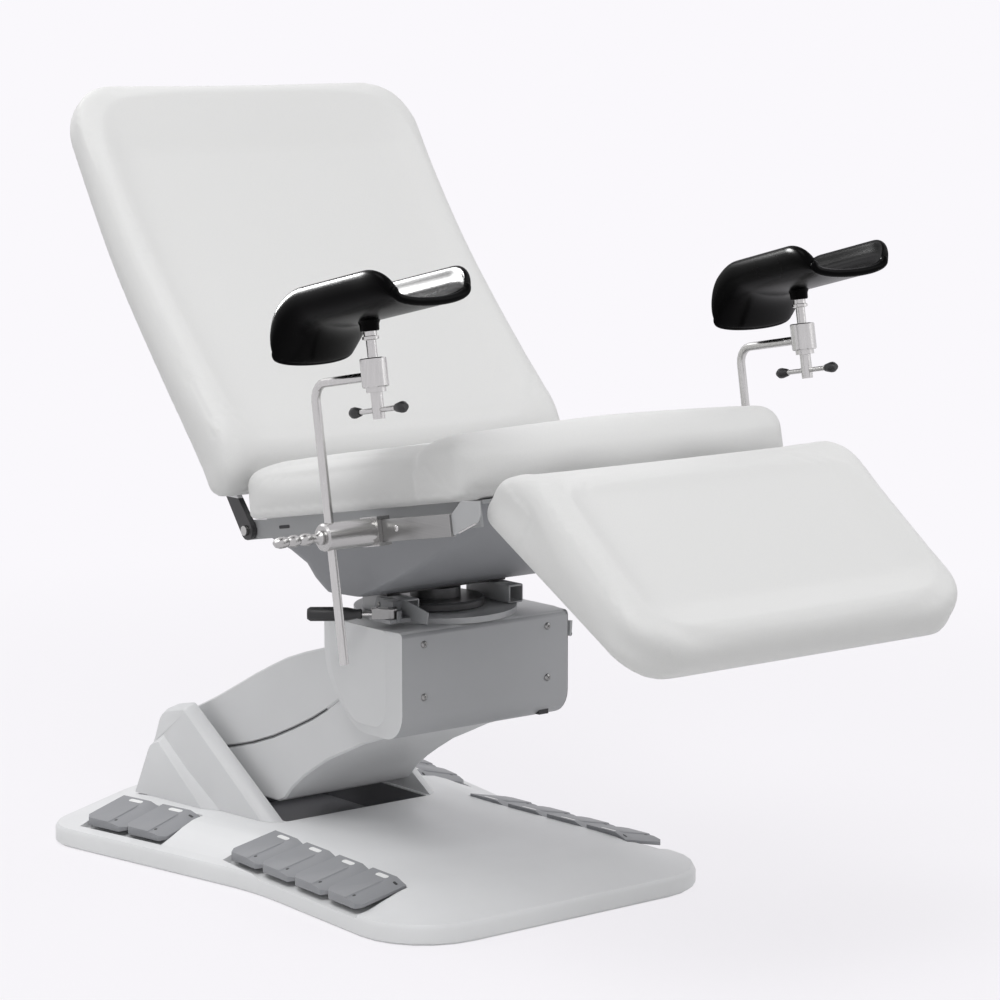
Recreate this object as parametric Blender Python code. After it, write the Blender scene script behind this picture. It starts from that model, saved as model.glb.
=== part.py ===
# Gynaecological examination chair: pedal base, lifting arm, swivel head, tilting seat,
# reclining back, folding leg rest and two clamped leg supports. Metres, +Z up.
# +X points to the foot end, +Y to the patient's left; the origin lies on the floor
# under the middle of the base.

import bpy
import bmesh
from math import atan2, cos, pi, radians, sin, sqrt, tan
from mathutils import Vector

for old in list(bpy.data.objects):
    bpy.data.objects.remove(old, do_unlink=True)

# Fits
GAP = 0.0003
RUN_GAP = 0.0006

# Base
BASE_FRONT = 0.565
BASE_REAR = 0.565
BASE_FRONT_HALF = 0.334
BASE_WAIST_HALF = 0.311
BASE_WAIST_X = 0.120
BASE_REAR_HALF = 0.404
BASE_REAR_CORNER_X = -0.385
BASE_EDGE = 0.0324
BASE_CROWN = 0.0361
BASE_CORNER_R = 0.124
PLATEAU_SHARE_X = 0.78
PLATEAU_SHARE_Y = 0.64
WELL_LEDGE = 0.006
WELL_REAR = -0.330
WELL_FRONT = -0.015
WELL_FLOOR = 0.014

# Foot pedals
PEDAL_PITCH = 0.0985
PEDAL_WIDTH = 0.0945
PEDAL_REACH = 0.092
PEDAL_LAND = 0.018
PEDAL_SLOPE = radians(12.7)
PEDAL_THICK = 0.014
PEDAL_RISE = 0.0045
PEDAL_TRAVEL_GAP = 0.0120
POCKET_SIDE = 0.0025
POCKET_OUT = 0.008
PEDAL_PAD_SHARE = 0.62
PEDAL_STRIP_SHARE = 0.73
PEDAL_STEP = 0.0020
PEDAL_NOSE = 0.0080
PEDAL_CORNER = 0.010
FRONT_GROUP_X = 0.0325
FRONT_GROUP_Y = 0.207
FRONT_GROUP_TURN = radians(-3.1)
FRONT_GROUP_COUNT = 4
REAR_GROUP_X = -0.337
REAR_GROUP_Y = 0.272
REAR_GROUP_TURN = radians(10.7)
REAR_GROUP_COUNT = 2

# Cheeks that carry the lifting arm
CHEEK_CLEAR = 0.022
CHEEK_THICK = 0.022
CHEEK_LEAN = 0.040
CHEEK_FLARE = 0.057
CHEEK_REAR = -0.398
CHEEK_FRONT = -0.014
CHEEK_BAND = 0.029
CHEEK_TOP = 0.2320
CHEEK_TOP_X = -0.281
CHEEK_STEP = 0.165
CHEEK_STEP_TOE = -0.110

# Lifting arm
LIFT_X = -0.225
LIFT_Z = 0.130
HEAD_X = 0.215
HEAD_Z = 0.345
ARM_CLEAR = 0.005
ARM_SEAM = 0.0003
ARM_END_R = 0.068
LIFT_SHAFT_R = 0.016
HEAD_SHAFT_R = 0.014

# Head housing
HOUSING_HALF = 0.178
HOUSING_WALL = 0.039
HOUSING_REAR = 0.13
HOUSING_FRONT = 0.341
HOUSING_TOP = 0.447
HOUSING_TOP_WALL = 0.016
HOUSING_LOW = 0.2690
HOUSING_CURVE = 0.045
FRONT_COVER_HALF = 0.172
FRONT_COVER_THICK = 0.0065
ARM_HALF = HOUSING_HALF - HOUSING_WALL - ARM_CLEAR
CHEEK_INNER = ARM_HALF + CHEEK_CLEAR
WELL_HALF = CHEEK_INNER - WELL_LEDGE

# Turntable and swivel carrier
SWIVEL_X = 0.205
RING_R = 0.135
RING_THICK = 0.01
HUB_R = 0.082
HUB_STEP = 0.014
HUB_NECK_R = 0.042
HUB_HEIGHT = 0.0312
TUBE_SIDE = 0.0310
TUBE_WALL = 0.003
TUBE_Y = 0.108
TUBE_REAR = 0.168
TUBE_FRONT = 0.284
CARRIER_PLATE = 0.006
CARRIER_REAR = 0.168
CARRIER_FRONT = 0.236
CARRIER_EAR_Y = 0.078
CARRIER_EAR = 0.010

# Seat tilt axis, seat frame and rail
TILT = radians(9.7)
TILT_X = 0.300
TILT_Z = 0.555
TILT_SHAFT_R = 0.012
SEAT_UNDER = 0.091
SEAT_REAR = -0.155
SEAT_FRONT = 0.43
SEAT_HALF = 0.33
SEAT_THICK = 0.083
SEAT_ROLL = 0.016
SEAT_ROLL_LENGTH = 0.135
PAN_THICK = 0.006
PAN_HALF = 0.285
PAN_FLANGE = 0.040
PAN_EAR_Y = 0.096
PAN_EAR = 0.010
RAIL_Y = 0.345
RAIL_THICK = 0.010
RAIL_HEIGHT = 0.034
RAIL_REAR = 0.145
RAIL_FRONT = 0.410
RAIL_N = 0.059
POST_R = 0.009
POST_INSET = 0.045

# Hull under the seat, in the seat's own frame
HULL_WALL = 0.005
HULL_TOP_HALF = 0.245
HULL_LOW_HALF = 0.192
HULL_TOP_REAR = -0.335
HULL_TOP_FRONT = 0.352
HULL_WAIST_REAR = -0.193
HULL_LOW_REAR = -0.160
HULL_LOW_FRONT = -0.05
HULL_LOW_REAR_N = -0.036
HULL_LOW_FRONT_N = -0.05

# Backrest, in its own frame: up the back and out of its front
BACK_HINGE_S = -0.200
BACK_HINGE_N = 0.075
BACK_LEAN = radians(42.0)
BACK_START = 0.040
BACK_END = 0.832
BACK_HALF = 0.36
BACK_CORNER_R = 0.105
BACK_REAR_M = 0.018
BACK_REAR_RISE = 0.030
BACK_FRONT_M = 0.124
BACK_FRONT_RISE = -0.040
BACK_BEND_AT = 0.500
BACK_BEND = 0.190
BACK_RIM = 0.020
BACK_PANEL = 0.010
HINGE_PIN_R = 0.008
BACK_ARM_Y = 0.279
BACK_ARM = 0.012
BACK_EAR_Y = 0.2915

# Leg rest, in its own frame: along the shin and out of its top
LEG_HINGE_S = 0.5045
LEG_HINGE_N = 0.0669
LEG_DROP = radians(32.8)
LEG_START = -0.047
LEG_END = 0.366
LEG_HALF = 0.33
LEG_CORNER_R = 0.085
LEG_LOW_M = -0.043
LEG_LOW_RISE = 0.06
LEG_TOP_M = 0.089
LEG_TOP_RISE = -0.09
LEG_RIM = 0.024
LEG_PANEL = 0.010
LEG_ARM_Y = 0.120
LEG_ARM = 0.012
LEG_NOTCH_HALF = 0.030
LEG_NOTCH_DEPTH = 0.040
LEG_NOTCH_TOP = 0.030
LEG_EAR = 0.008
LEG_EAR_OFF = 0.019

# Leg supports, in the seat's frame
ROD_S = 0.2225
ROD_Y = 0.431
ROD_R = 0.0070
ROD_LOW = -0.133
ROD_HIGH = 0.287
ROD_BEND_R = 0.026
CLAMP_R = 0.021
CLAMP_HALF = 0.021
CLAMP_LIP = 0.005
KNOB_LENGTH = 0.086
SOCKET_S = 0.3755
SOCKET_R = 0.0200
SOCKET_LOW = 0.270
SOCKET_HIGH = 0.313
STUD_R = 0.0075
STUD_COLLAR_R = 0.0125
STUD_SEAT = 0.3515
SCREW_R = 0.0090
SCREW_LOW = 0.224
HANDLE_N = 0.237
HANDLE_HALF = 0.066
HANDLE_R = 0.004
GRIP_R = 0.0085
GRIP_LENGTH = 0.022
SHELL_HALF = 0.094
SHELL_TURN = radians(6.0)
SHELL_REAR = 0.2495
SHELL_FRONT = 0.5120
SHELL_BOTTOM = 0.366
SHELL_DEPTH = 0.056
SHELL_WALL = 0.013
SHELL_DROP = 0.049
SHELL_RISE = 0.060
BOSS_R = 0.0130

# Swivel brake
BRAKE_X = 0.292
BRAKE_Y = -0.157
BRAKE_Z = 0.469
BRAKE_PIN_R = 0.004
BRAKE_TURN = radians(231.3)
BRAKE_LENGTH = 0.134
BRAKE_GRIP = 0.088
BRAKE_GRIP_R = 0.0115

materials = {}


def material(name, colour, roughness, metallic=0.0):
    if name not in materials:
        made = bpy.data.materials.new(name)
        made.use_nodes = True
        shader = made.node_tree.nodes["Principled BSDF"]
        shader.inputs["Base Color"].default_value = (*colour, 1.0)
        shader.inputs["Roughness"].default_value = roughness
        shader.inputs["Metallic"].default_value = metallic
        materials[name] = made
    return materials[name]


COVER = material("cover_grey", (0.52, 0.53, 0.55), 0.45)
HOUSING = material("housing_grey", (0.36, 0.37, 0.39), 0.45)
PEDAL = material("pedal_grey", (0.22, 0.23, 0.25), 0.5)
HIDE = material("upholstery_white", (0.76, 0.76, 0.75), 0.4)
FRAME = material("frame_grey", (0.20, 0.21, 0.22), 0.5)
STEEL = material("satin_steel", (0.62, 0.61, 0.59), 0.25, 1.0)
DARK = material("black_plastic", (0.015, 0.015, 0.016), 0.3)


def axis(name, place, parent=None, turn=0.0):
    empty = bpy.data.objects.new(name, None)
    bpy.context.collection.objects.link(empty)
    empty.parent = parent
    empty.location = place
    empty.rotation_euler = (0.0, turn, 0.0)
    return empty


def finish(name, mesh, finish_material, parent=None, smooth=35.0):
    bmesh.ops.recalc_face_normals(mesh, faces=mesh.faces)
    data = bpy.data.meshes.new(name)
    mesh.to_mesh(data)
    mesh.free()
    data.materials.append(finish_material)
    data.shade_smooth()
    data.set_sharp_from_angle(angle=radians(smooth))
    piece = bpy.data.objects.new(name, data)
    bpy.context.collection.objects.link(piece)
    piece.parent = parent
    return piece


def soften(piece, width, segments=2):
    bevel = piece.modifiers.new("soften", "BEVEL")
    bevel.width = width
    bevel.segments = segments
    bevel.limit_method = "ANGLE"
    bevel.angle_limit = radians(30.0)
    return piece


def change(piece, tool, operation):
    tool.hide_render = True
    tool.display_type = "WIRE"
    step = piece.modifiers.new(tool.name, "BOOLEAN")
    step.operation = operation
    step.object = tool
    return piece


def cut(piece, tool):
    return change(piece, tool, "DIFFERENCE")


def join(piece, tool):
    return change(piece, tool, "UNION")


def loft(rings, mesh=None):
    mesh = mesh or bmesh.new()
    layers = [[mesh.verts.new(point) for point in ring] for ring in rings]
    count = len(layers[0])
    for low, high in zip(layers, layers[1:]):
        for i in range(count):
            mesh.faces.new((low[i], low[(i + 1) % count], high[(i + 1) % count], high[i]))
    mesh.faces.new(list(reversed(layers[0])))
    mesh.faces.new(layers[-1])
    return mesh


def prism(outline, low, high):
    # An outline in X and Z, pushed along Y.
    return loft([[(x, low, z) for x, z in outline], [(x, high, z) for x, z in outline]])


def slab(outline, low, high):
    # An outline in X and Y, raised along Z.
    return loft([[(x, y, low) for x, y in outline], [(x, y, high) for x, y in outline]])


def block(low, high):
    (x0, y0, z0), (x1, y1, z1) = low, high
    return slab([(x0, y0), (x1, y0), (x1, y1), (x0, y1)], z0, z1)


def arc(centre, radius, start, end, steps):
    turn = (end - start) / steps
    return [(centre[0] + radius * cos(start + turn * i), centre[1] + radius * sin(start + turn * i))
            for i in range(steps + 1)]


def rounded(corners, steps=5):
    # Corners are (x, y, radius); each is replaced by an arc tangent to its two sides.
    outline = []
    for i, (x, y, radius) in enumerate(corners):
        here = Vector((x, y))
        back = (Vector(corners[i - 1][:2]) - here).normalized()
        ahead = (Vector(corners[(i + 1) % len(corners)][:2]) - here).normalized()
        if radius <= 0.0:
            outline.append((x, y))
            continue
        half = back.angle(ahead) / 2.0
        middle = here + (back + ahead).normalized() * (radius / sin(half))
        first = here + back * (radius / tan(half)) - middle
        last = here + ahead * (radius / tan(half)) - middle
        start = atan2(first.y, first.x)
        sweep = (atan2(last.y, last.x) - start + pi) % (2.0 * pi) - pi
        outline += arc(middle, radius, start, start + sweep, steps)
    return outline


def turned(profile, place, direction, sides=20):
    # A profile of (radius, distance) turned about a direction; the first and last are capped.
    turn = Vector((0.0, 0.0, 1.0)).rotation_difference(Vector(direction)).to_matrix()
    rings = []
    for radius, along in profile:
        ring = [Vector((radius * cos(2 * pi * i / sides), radius * sin(2 * pi * i / sides), along))
                for i in range(sides)]
        rings.append([Vector(place) + turn @ point for point in ring])
    return loft(rings)


def rod(radius, start, end, sides=20):
    start = Vector(start)
    length = (Vector(end) - start).length
    return turned([(radius, 0.0), (radius, length)], start, Vector(end) - start, sides)


def swept(path, radius, sides=12):
    # A round bar along points in one X-Z plane.
    rings = []
    for i, point in enumerate(path):
        before = Vector(path[max(i - 1, 0)])
        after = Vector(path[min(i + 1, len(path) - 1)])
        ahead = (after - before).normalized()
        across = Vector((0.0, 1.0, 0.0))
        over = ahead.cross(across)
        angles = [2 * pi * k / sides for k in range(sides)]
        rings.append([Vector(point) + radius * (cos(a) * across + sin(a) * over) for a in angles])
    return loft(rings)


def tool(name, mesh, parent=None):
    return finish(name, mesh, FRAME, parent)


def bend(distance, width):
    return 0.5 * (distance + sqrt(distance * distance + width * width))


def cushion(stations, hollow, cross):
    # Stations are (along, half width, low, high, rim); cross turns (along, y, height) into a point.
    rings = []
    for along, half, low, high, rim in stations:
        deep = high - low
        side = [(half - 0.030, low), (half - 0.008, low + 0.10 * deep), (half, low + 0.26 * deep),
                (half - 0.004, low + 0.52 * deep), (half - 0.001, low + 0.74 * deep),
                (half - 0.009, high - 0.09 * deep), (half - 0.026, high), (half - 0.048, high - 0.22 * rim),
                (half - 0.074, high - 0.75 * rim), (half - 0.110, high - rim)]
        crown = [(half * 0.45, high - rim - 0.4 * hollow), (0.0, high - rim - hollow)]
        left = [(-y, m) for y, m in reversed(side)]
        outline = side + crown + [(-half * 0.45, high - rim - 0.4 * hollow)] + left
        rings.append([cross(along, y, m) for y, m in outline])
    return loft(rings)


def round_in(distance, radius):
    # How far a rounded edge has drawn in at a distance from its end.
    if distance >= radius:
        return 0.0
    return radius - sqrt(max(radius * radius - (radius - distance) ** 2, 0.0))


# Base plate with crowned top, arm well and pedal pockets
def base_outline():
    front = [(BASE_FRONT, BASE_FRONT_HALF, BASE_CORNER_R)]
    waist = [(BASE_WAIST_X, BASE_WAIST_HALF, 0.55)]
    rear = [(BASE_REAR_CORNER_X, BASE_REAR_HALF, 0.085), (-BASE_REAR * 0.97, 0.105, 0.30)]
    half = front + waist + rear
    other = [(x, -y, r) for x, y, r in reversed(half)]
    return rounded(half + other, 6)


def base_height(share):
    return BASE_EDGE + BASE_CROWN * (0.5 - 0.5 * cos(pi * min(share, 1.0))) ** 0.9


def base_ring(outline, inset, share, height):
    sx = 1.0 - (1.0 - PLATEAU_SHARE_X) * share - inset / BASE_FRONT
    sy = 1.0 - (1.0 - PLATEAU_SHARE_Y) * share - inset / BASE_FRONT_HALF
    return [(x * sx, y * sy, height) for x, y in outline]


def pedal_profile(lift, below):
    # The pedal's section across its group: reach outward and height, lifted and thickened.
    top = BASE_EDGE + BASE_CROWN + PEDAL_RISE + lift
    upper = [(0.0, top), (PEDAL_REACH, top - PEDAL_REACH * tan(PEDAL_SLOPE))]
    lower = [(v, z - PEDAL_THICK - below) for v, z in reversed(upper)]
    return upper, lower


def pedal_groups():
    for side, word in ((-1, "right"), (1, "left")):
        front = (FRONT_GROUP_X, FRONT_GROUP_Y, FRONT_GROUP_TURN, FRONT_GROUP_COUNT)
        rear = (REAR_GROUP_X, REAR_GROUP_Y, REAR_GROUP_TURN, REAR_GROUP_COUNT)
        for (x, y, turn, count), end in ((front, "front"), (rear, "rear")):
            yield side, f"{word}_{end}", Vector((x, side * y, 0.0)), -turn * side, count


def group_point(side, place, turn, along, out, height):
    ahead = Vector((cos(turn), sin(turn), 0.0))
    outward = Vector((-sin(turn), cos(turn), 0.0)) * side
    return place + ahead * along + outward * out + Vector((0.0, 0.0, height))


def make_base():
    outline = base_outline()
    rings = [base_ring(outline, 0.004, 0.0, 0.0), base_ring(outline, 0.0, 0.0, 0.004),
             base_ring(outline, 0.0, 0.0, BASE_EDGE - 0.008),
             base_ring(outline, 0.0024, 0.0, BASE_EDGE - 0.0022)]
    shares = [0.03, 0.2, 0.4, 0.6, 0.8, 1.0]
    rings += [base_ring(outline, 0.0, share, base_height(share)) for share in shares]
    base = finish("base_plate", loft(rings), COVER, None, 25.0)
    well = rounded([(WELL_FRONT, WELL_HALF, 0.004), (WELL_REAR, WELL_HALF, 0.02),
                    (WELL_REAR, -WELL_HALF, 0.02), (WELL_FRONT, -WELL_HALF, 0.004)], 3)
    cut(base, tool("well_cutter", slab(well, WELL_FLOOR, 0.2)))
    for side, name, place, turn, count in pedal_groups():
        _, floor = pedal_profile(0.0, PEDAL_TRAVEL_GAP)
        length = count * PEDAL_PITCH + 2 * POCKET_SIDE
        floor = [(v + (POCKET_OUT if v > 0 else -GAP), z) for v, z in floor]
        section = floor + [(-GAP, 0.2), (PEDAL_REACH + POCKET_OUT, 0.2)]
        ends = [[group_point(side, place, turn, along, v, z) for v, z in section]
                for along in (-POCKET_SIDE, length - POCKET_SIDE)]
        cut(base, tool(f"pocket_cutter_{name}", loft(ends)))
    return base


def pedal_section(inset, step):
    # The pedal's section along its group: pad, lower strip and falling nose over a flat underside.
    pad = PEDAL_PAD_SHARE * PEDAL_WIDTH
    strip = PEDAL_STRIP_SHARE * PEDAL_WIDTH
    end = PEDAL_WIDTH - inset
    nose = PEDAL_NOSE * (end - strip) / (PEDAL_WIDTH - strip)
    tops = [(inset, 0.0), (pad, 0.0), (pad + 0.0012, -step), (strip, -step), (end, -nose)]
    return tops + [(end, -PEDAL_THICK), (inset, -PEDAL_THICK)]


def make_pedals():
    upper, lower = pedal_profile(0.0, 0.0)
    stations = [(0.0, 0.0, 0.0), (PEDAL_LAND, 0.0, 0.0), (PEDAL_LAND + 0.010, 0.0, PEDAL_STEP),
                (PEDAL_REACH - PEDAL_CORNER, 0.0, PEDAL_STEP), (PEDAL_REACH, PEDAL_CORNER, PEDAL_STEP)]
    for side, name, place, turn, count in pedal_groups():
        for i in range(count):
            start = i * PEDAL_PITCH + (PEDAL_PITCH - PEDAL_WIDTH) / 2.0
            hinge = group_point(side, place, turn, start + PEDAL_WIDTH / 2.0, 0.0, lower[-1][1])
            pivot = axis(f"pedal_axis_{name}_{i + 1}", hinge)
            rings = []
            for v, inset, step in stations:
                level = upper[0][1] - v * tan(PEDAL_SLOPE)
                rings.append([group_point(side, place, turn, start + along, v, level + z) - hinge
                              for along, z in pedal_section(inset, step)])
            pedal = finish(f"pedal_{name}_{i + 1}", loft(rings), PEDAL, pivot)
            soften(pedal, 0.0010, 1)


# Cheeks beside the arm
def cheek_spread(x, z, flare, hold, fall):
    # How far a cheek's outer skin leans out: most at the foot and towards the rear.
    foot = BASE_EDGE + BASE_CROWN
    share = min(1.0, max(0.0, hold * (CHEEK_FRONT - x) / (CHEEK_FRONT - CHEEK_REAR + 0.055)))
    return flare * sin(0.5 * pi * share) * (1.0 - fall * (z - foot) / (CHEEK_TOP - foot))


def fin_outline(drawn, foot):
    top, toe = CHEEK_TOP - 0.011 * drawn, CHEEK_FRONT - CHEEK_BAND * drawn
    rear = [(CHEEK_REAR + 0.028, foot, 0.0), (CHEEK_TOP_X - 0.070, CHEEK_STEP, 0.020)]
    head = [(CHEEK_TOP_X - 0.066, top - 0.014, 0.022), (CHEEK_TOP_X, top, 0.014), (toe, foot, 0.0)]
    return rounded(rear + head, 4)


def make_cheeks():
    foot = BASE_EDGE + BASE_CROWN + GAP
    outer = CHEEK_INNER + CHEEK_THICK
    root = rounded([(CHEEK_REAR, foot, 0.0), (CHEEK_REAR + 0.027, CHEEK_STEP - 0.006, 0.016),
                    (CHEEK_TOP_X - 0.054, CHEEK_STEP + 0.017, 0.006), (CHEEK_STEP_TOE, foot, 0.0)], 4)
    face = rounded([(CHEEK_REAR + 0.040, foot, 0.0), (CHEEK_REAR + 0.050, CHEEK_STEP - 0.014, 0.012),
                    (CHEEK_TOP_X - 0.046, CHEEK_STEP - 0.005, 0.006),
                    (CHEEK_STEP_TOE - 0.072, foot, 0.0)], 4)
    for side, word in ((-1, "right"), (1, "left")):
        rings = [[(x, side * CHEEK_INNER, z) for x, z in fin_outline(0.0, foot)]]
        for drawn, inward in ((0.45, 0.006), (1.0, 0.0)):
            rings.append([(x, side * (outer - inward + cheek_spread(x, z, CHEEK_LEAN, 1.35, 1.0)), z)
                          for x, z in fin_outline(drawn, foot)])
        cheek = finish(f"cheek_{word}", loft(rings), COVER)
        sunk = [(x, side * (outer - 0.004), z) for x, z in root]
        proud = []
        for x, z in face:
            proud.append((x, side * (outer + 0.002 + cheek_spread(x, z, CHEEK_FLARE, 1.0, 0.9)), z))
        join(cheek, tool(f"cheek_step_{word}", loft([sunk, proud])))
        soften(cheek, 0.004)
    reach = CHEEK_INNER - GAP
    shaft = rod(LIFT_SHAFT_R, (LIFT_X, -reach, LIFT_Z), (LIFT_X, reach, LIFT_Z), 24)
    finish("lift_pivot_shaft", shaft, STEEL)


# Lifting arm: upper and lower covers that meet on a seam
def arm_seam():
    return [(-0.318, 0.146), (-0.260, 0.152), (-0.196, 0.166), (-0.135, 0.183), (-0.074, 0.204),
            (-0.017, 0.228), (0.040, 0.254), (0.082, 0.277), (0.122, 0.302)]


def arm_top():
    return [(-0.318, 0.196), (-0.312, 0.217), (-0.249, 0.245), (-0.190, 0.274), (-0.130, 0.304),
            (-0.080, 0.327), (-0.034, 0.347), (0.020, 0.365), (0.073, 0.380), (0.118, 0.393)]


def arm_under():
    return [(0.278, 0.276), (0.245, 0.256), (0.180, 0.2335), (0.132, 0.212), (0.085, 0.1915),
            (0.043, 0.1675), (0.011, 0.1475), (-0.020, 0.124), (-0.042, 0.101), (-0.062, 0.0925),
            (-0.262, 0.090), (-0.296, 0.102), (-0.314, 0.125)]


def make_arm(lift):
    end_in = [(HEAD_X + ARM_END_R * cos(a), HEAD_Z + ARM_END_R * sin(a))
              for a in (radians(100), radians(72), radians(44), radians(16), radians(-12), radians(-40))]
    seam = arm_seam() + [(HEAD_X + 0.010, HEAD_Z - 0.040), end_in[-1]]
    upper = arm_top() + end_in[:-1] + list(reversed(seam))
    drop = Vector((0.35, -0.94)) * ARM_SEAM
    lower_seam = [(x + drop.x, z + drop.y) for x, z in seam]
    lower = lower_seam + [(0.284, 0.290)] + arm_under()
    local = lambda points: [(x - LIFT_X, z - LIFT_Z) for x, z in points]
    covers = []
    for name, outline in (("arm_upper_cover", upper), ("arm_lower_cover", lower)):
        cover = finish(name, prism(local(outline), -ARM_HALF, ARM_HALF), COVER, lift, 25.0)
        covers.append(cover)
    shaft_hole = rod(LIFT_SHAFT_R + RUN_GAP, (0.0, -0.2, 0.0), (0.0, 0.2, 0.0), 24)
    cut(covers[1], tool("lift_shaft_cutter", shaft_hole, lift))
    dx, dz = HEAD_X - LIFT_X, HEAD_Z - LIFT_Z
    head_hole = rod(HEAD_SHAFT_R + RUN_GAP, (dx, -0.2, dz), (dx, 0.2, dz), 24)
    cut(covers[0], tool("head_shaft_cutter", head_hole, lift))
    for cover in covers:
        soften(cover, 0.003, 1)


# Head housing: two side shields under a top plate, with a screwed front cover
def shield_outline(back):
    # The side profile; its front and front foot stand back by a distance.
    front, low = HOUSING_FRONT - back, HOUSING_LOW + back
    heel = HOUSING_FRONT - HOUSING_CURVE - GAP
    return rounded([(HOUSING_REAR, HOUSING_TOP, 0.004), (HOUSING_REAR, 0.352, 0.11),
                    (0.215, HOUSING_LOW, 0.075), (heel - 0.001, HOUSING_LOW, 0.0), (heel, low, 0.0),
                    (front, low, HOUSING_CURVE - back), (front, HOUSING_TOP, 0.008)], 7)


def make_head(head):
    rear = HOUSING_REAR
    middle = rear + 0.385 * (HOUSING_FRONT - rear)
    rim = FRONT_COVER_HALF / HOUSING_HALF
    rings = []
    # The raised panel's edge stands in from the profile, furthest at the front.
    levels = ((1.0, 0.275, 0.096, 0.0), (0.990, 0.255, 0.087, 0.0), (rim, 0.0, 0.0, 0.0),
              (rim, 0.0, 0.0, FRONT_COVER_THICK + GAP))
    for y, narrow, short, back in levels:
        ring = []
        for x, z in shield_outline(back):
            x = middle + (x - middle) * (1.0 - narrow)
            z = HOUSING_TOP + (z - HOUSING_TOP) * (1.0 - short)
            ring.append((x - HEAD_X, y * HOUSING_HALF, z - HEAD_Z))
        rings.append(ring)
    rings += [[(x, -y, z) for x, y, z in ring] for ring in reversed(rings)]
    housing = finish("head_housing", loft(rings), COVER, head, 30.0)
    inner = HOUSING_HALF - HOUSING_WALL
    ceiling = HOUSING_TOP - HOUSING_TOP_WALL - HEAD_Z
    hollow = block((-0.3, -inner, -0.3), (0.3, inner, ceiling))
    cut(housing, tool("housing_hollow_cutter", hollow, head))
    half = FRONT_COVER_HALF - GAP
    hub = (HOUSING_FRONT - HOUSING_CURVE, HOUSING_LOW + HOUSING_CURVE)
    deep = HOUSING_CURVE - FRONT_COVER_THICK
    skin = arc(hub, HOUSING_CURVE, 0.0, radians(-90.0), 7)
    lining = arc(hub, deep, radians(-90.0), 0.0, 7)
    lid = [(hub[0] + deep, HOUSING_TOP - 0.006), (HOUSING_FRONT - 0.005, HOUSING_TOP - 0.002),
           (HOUSING_FRONT, HOUSING_TOP - 0.008)]
    section = [(x - HEAD_X, z - HEAD_Z) for x, z in skin + lining + lid]
    plate = prism(section, -half, half)
    cover = finish("head_front_cover", plate, HOUSING, head)
    soften(cover, 0.0015)
    reach = inner - GAP
    finish("head_pivot_shaft", rod(HEAD_SHAFT_R, (0.0, -reach, 0.0), (0.0, reach, 0.0), 24), STEEL, head)
    ring_low = HOUSING_TOP + GAP - HEAD_Z
    ring = turned([(RING_R, ring_low), (RING_R, ring_low + RING_THICK)],
                  (SWIVEL_X - HEAD_X, 0, 0), (0, 0, 1), 40)
    finish("turntable_ring", ring, FRAME, head)


def carrier_levels():
    low = HOUSING_TOP + GAP + RING_THICK + RUN_GAP
    plate = low + HUB_HEIGHT + GAP
    return low, plate


# Swivel: hub, square tubes, carrier plate with tilt ears, tilt shaft
def make_swivel(swivel, origin):
    low, plate = carrier_levels()
    profile = [(HUB_R - 0.002, 0.0), (HUB_R, 0.002), (HUB_R, HUB_STEP - 0.003), (HUB_R - 0.004, HUB_STEP),
               (HUB_NECK_R, HUB_STEP), (HUB_NECK_R, HUB_HEIGHT)]
    hub = turned(profile, (0.0, 0.0, low - origin.z), (0, 0, 1), 32)
    finish("swivel_hub", hub, DARK, swivel)
    for side, word in ((-1, "right"), (1, "left")):
        half = TUBE_SIDE / 2.0
        y = side * TUBE_Y
        outer = block((TUBE_REAR - SWIVEL_X, y - half, low - origin.z),
                      (TUBE_FRONT - SWIVEL_X, y + half, low + TUBE_SIDE - origin.z))
        tube = finish(f"carrier_tube_{word}", outer, FRAME, swivel)
        soften(tube, 0.003)
        wall = TUBE_WALL
        bore = block((TUBE_REAR - SWIVEL_X - 0.1, y - half + wall, low + wall - origin.z),
                     (TUBE_FRONT - SWIVEL_X + 0.1, y + half - wall, low + TUBE_SIDE - wall - origin.z))
        cut(tube, tool(f"tube_bore_{word}", bore, swivel))
    deck = block((CARRIER_REAR - SWIVEL_X, -TUBE_Y - TUBE_SIDE / 2, plate - origin.z),
                 (CARRIER_FRONT - SWIVEL_X, TUBE_Y + TUBE_SIDE / 2, plate + CARRIER_PLATE - origin.z))
    carrier = finish("swivel_carrier", deck, FRAME, swivel)
    tx, tz = TILT_X - SWIVEL_X, TILT_Z - origin.z
    base_z = plate + CARRIER_PLATE - 0.002 - origin.z
    eye = arc((tx, tz), 0.020, radians(-90), radians(110), 7)
    cheek = [(CARRIER_REAR + 0.01 - SWIVEL_X, base_z), (CARRIER_FRONT - 0.010 - SWIVEL_X, base_z),
             (tx - 0.058, tz - 0.040)] + eye
    for side, word in ((-1, "right"), (1, "left")):
        y = side * CARRIER_EAR_Y
        ear = prism(cheek, y - CARRIER_EAR / 2, y + CARRIER_EAR / 2)
        join(carrier, tool(f"carrier_ear_{word}", ear, swivel))
    hole = rod(TILT_SHAFT_R + GAP, (tx, -0.2, tz), (tx, 0.2, tz), 20)
    cut(carrier, tool("tilt_shaft_cutter", hole, swivel))
    reach = PAN_EAR_Y + PAN_EAR / 2 + 0.004
    finish("tilt_shaft", rod(TILT_SHAFT_R, (tx, -reach, tz), (tx, reach, tz), 20), STEEL, swivel)


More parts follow.
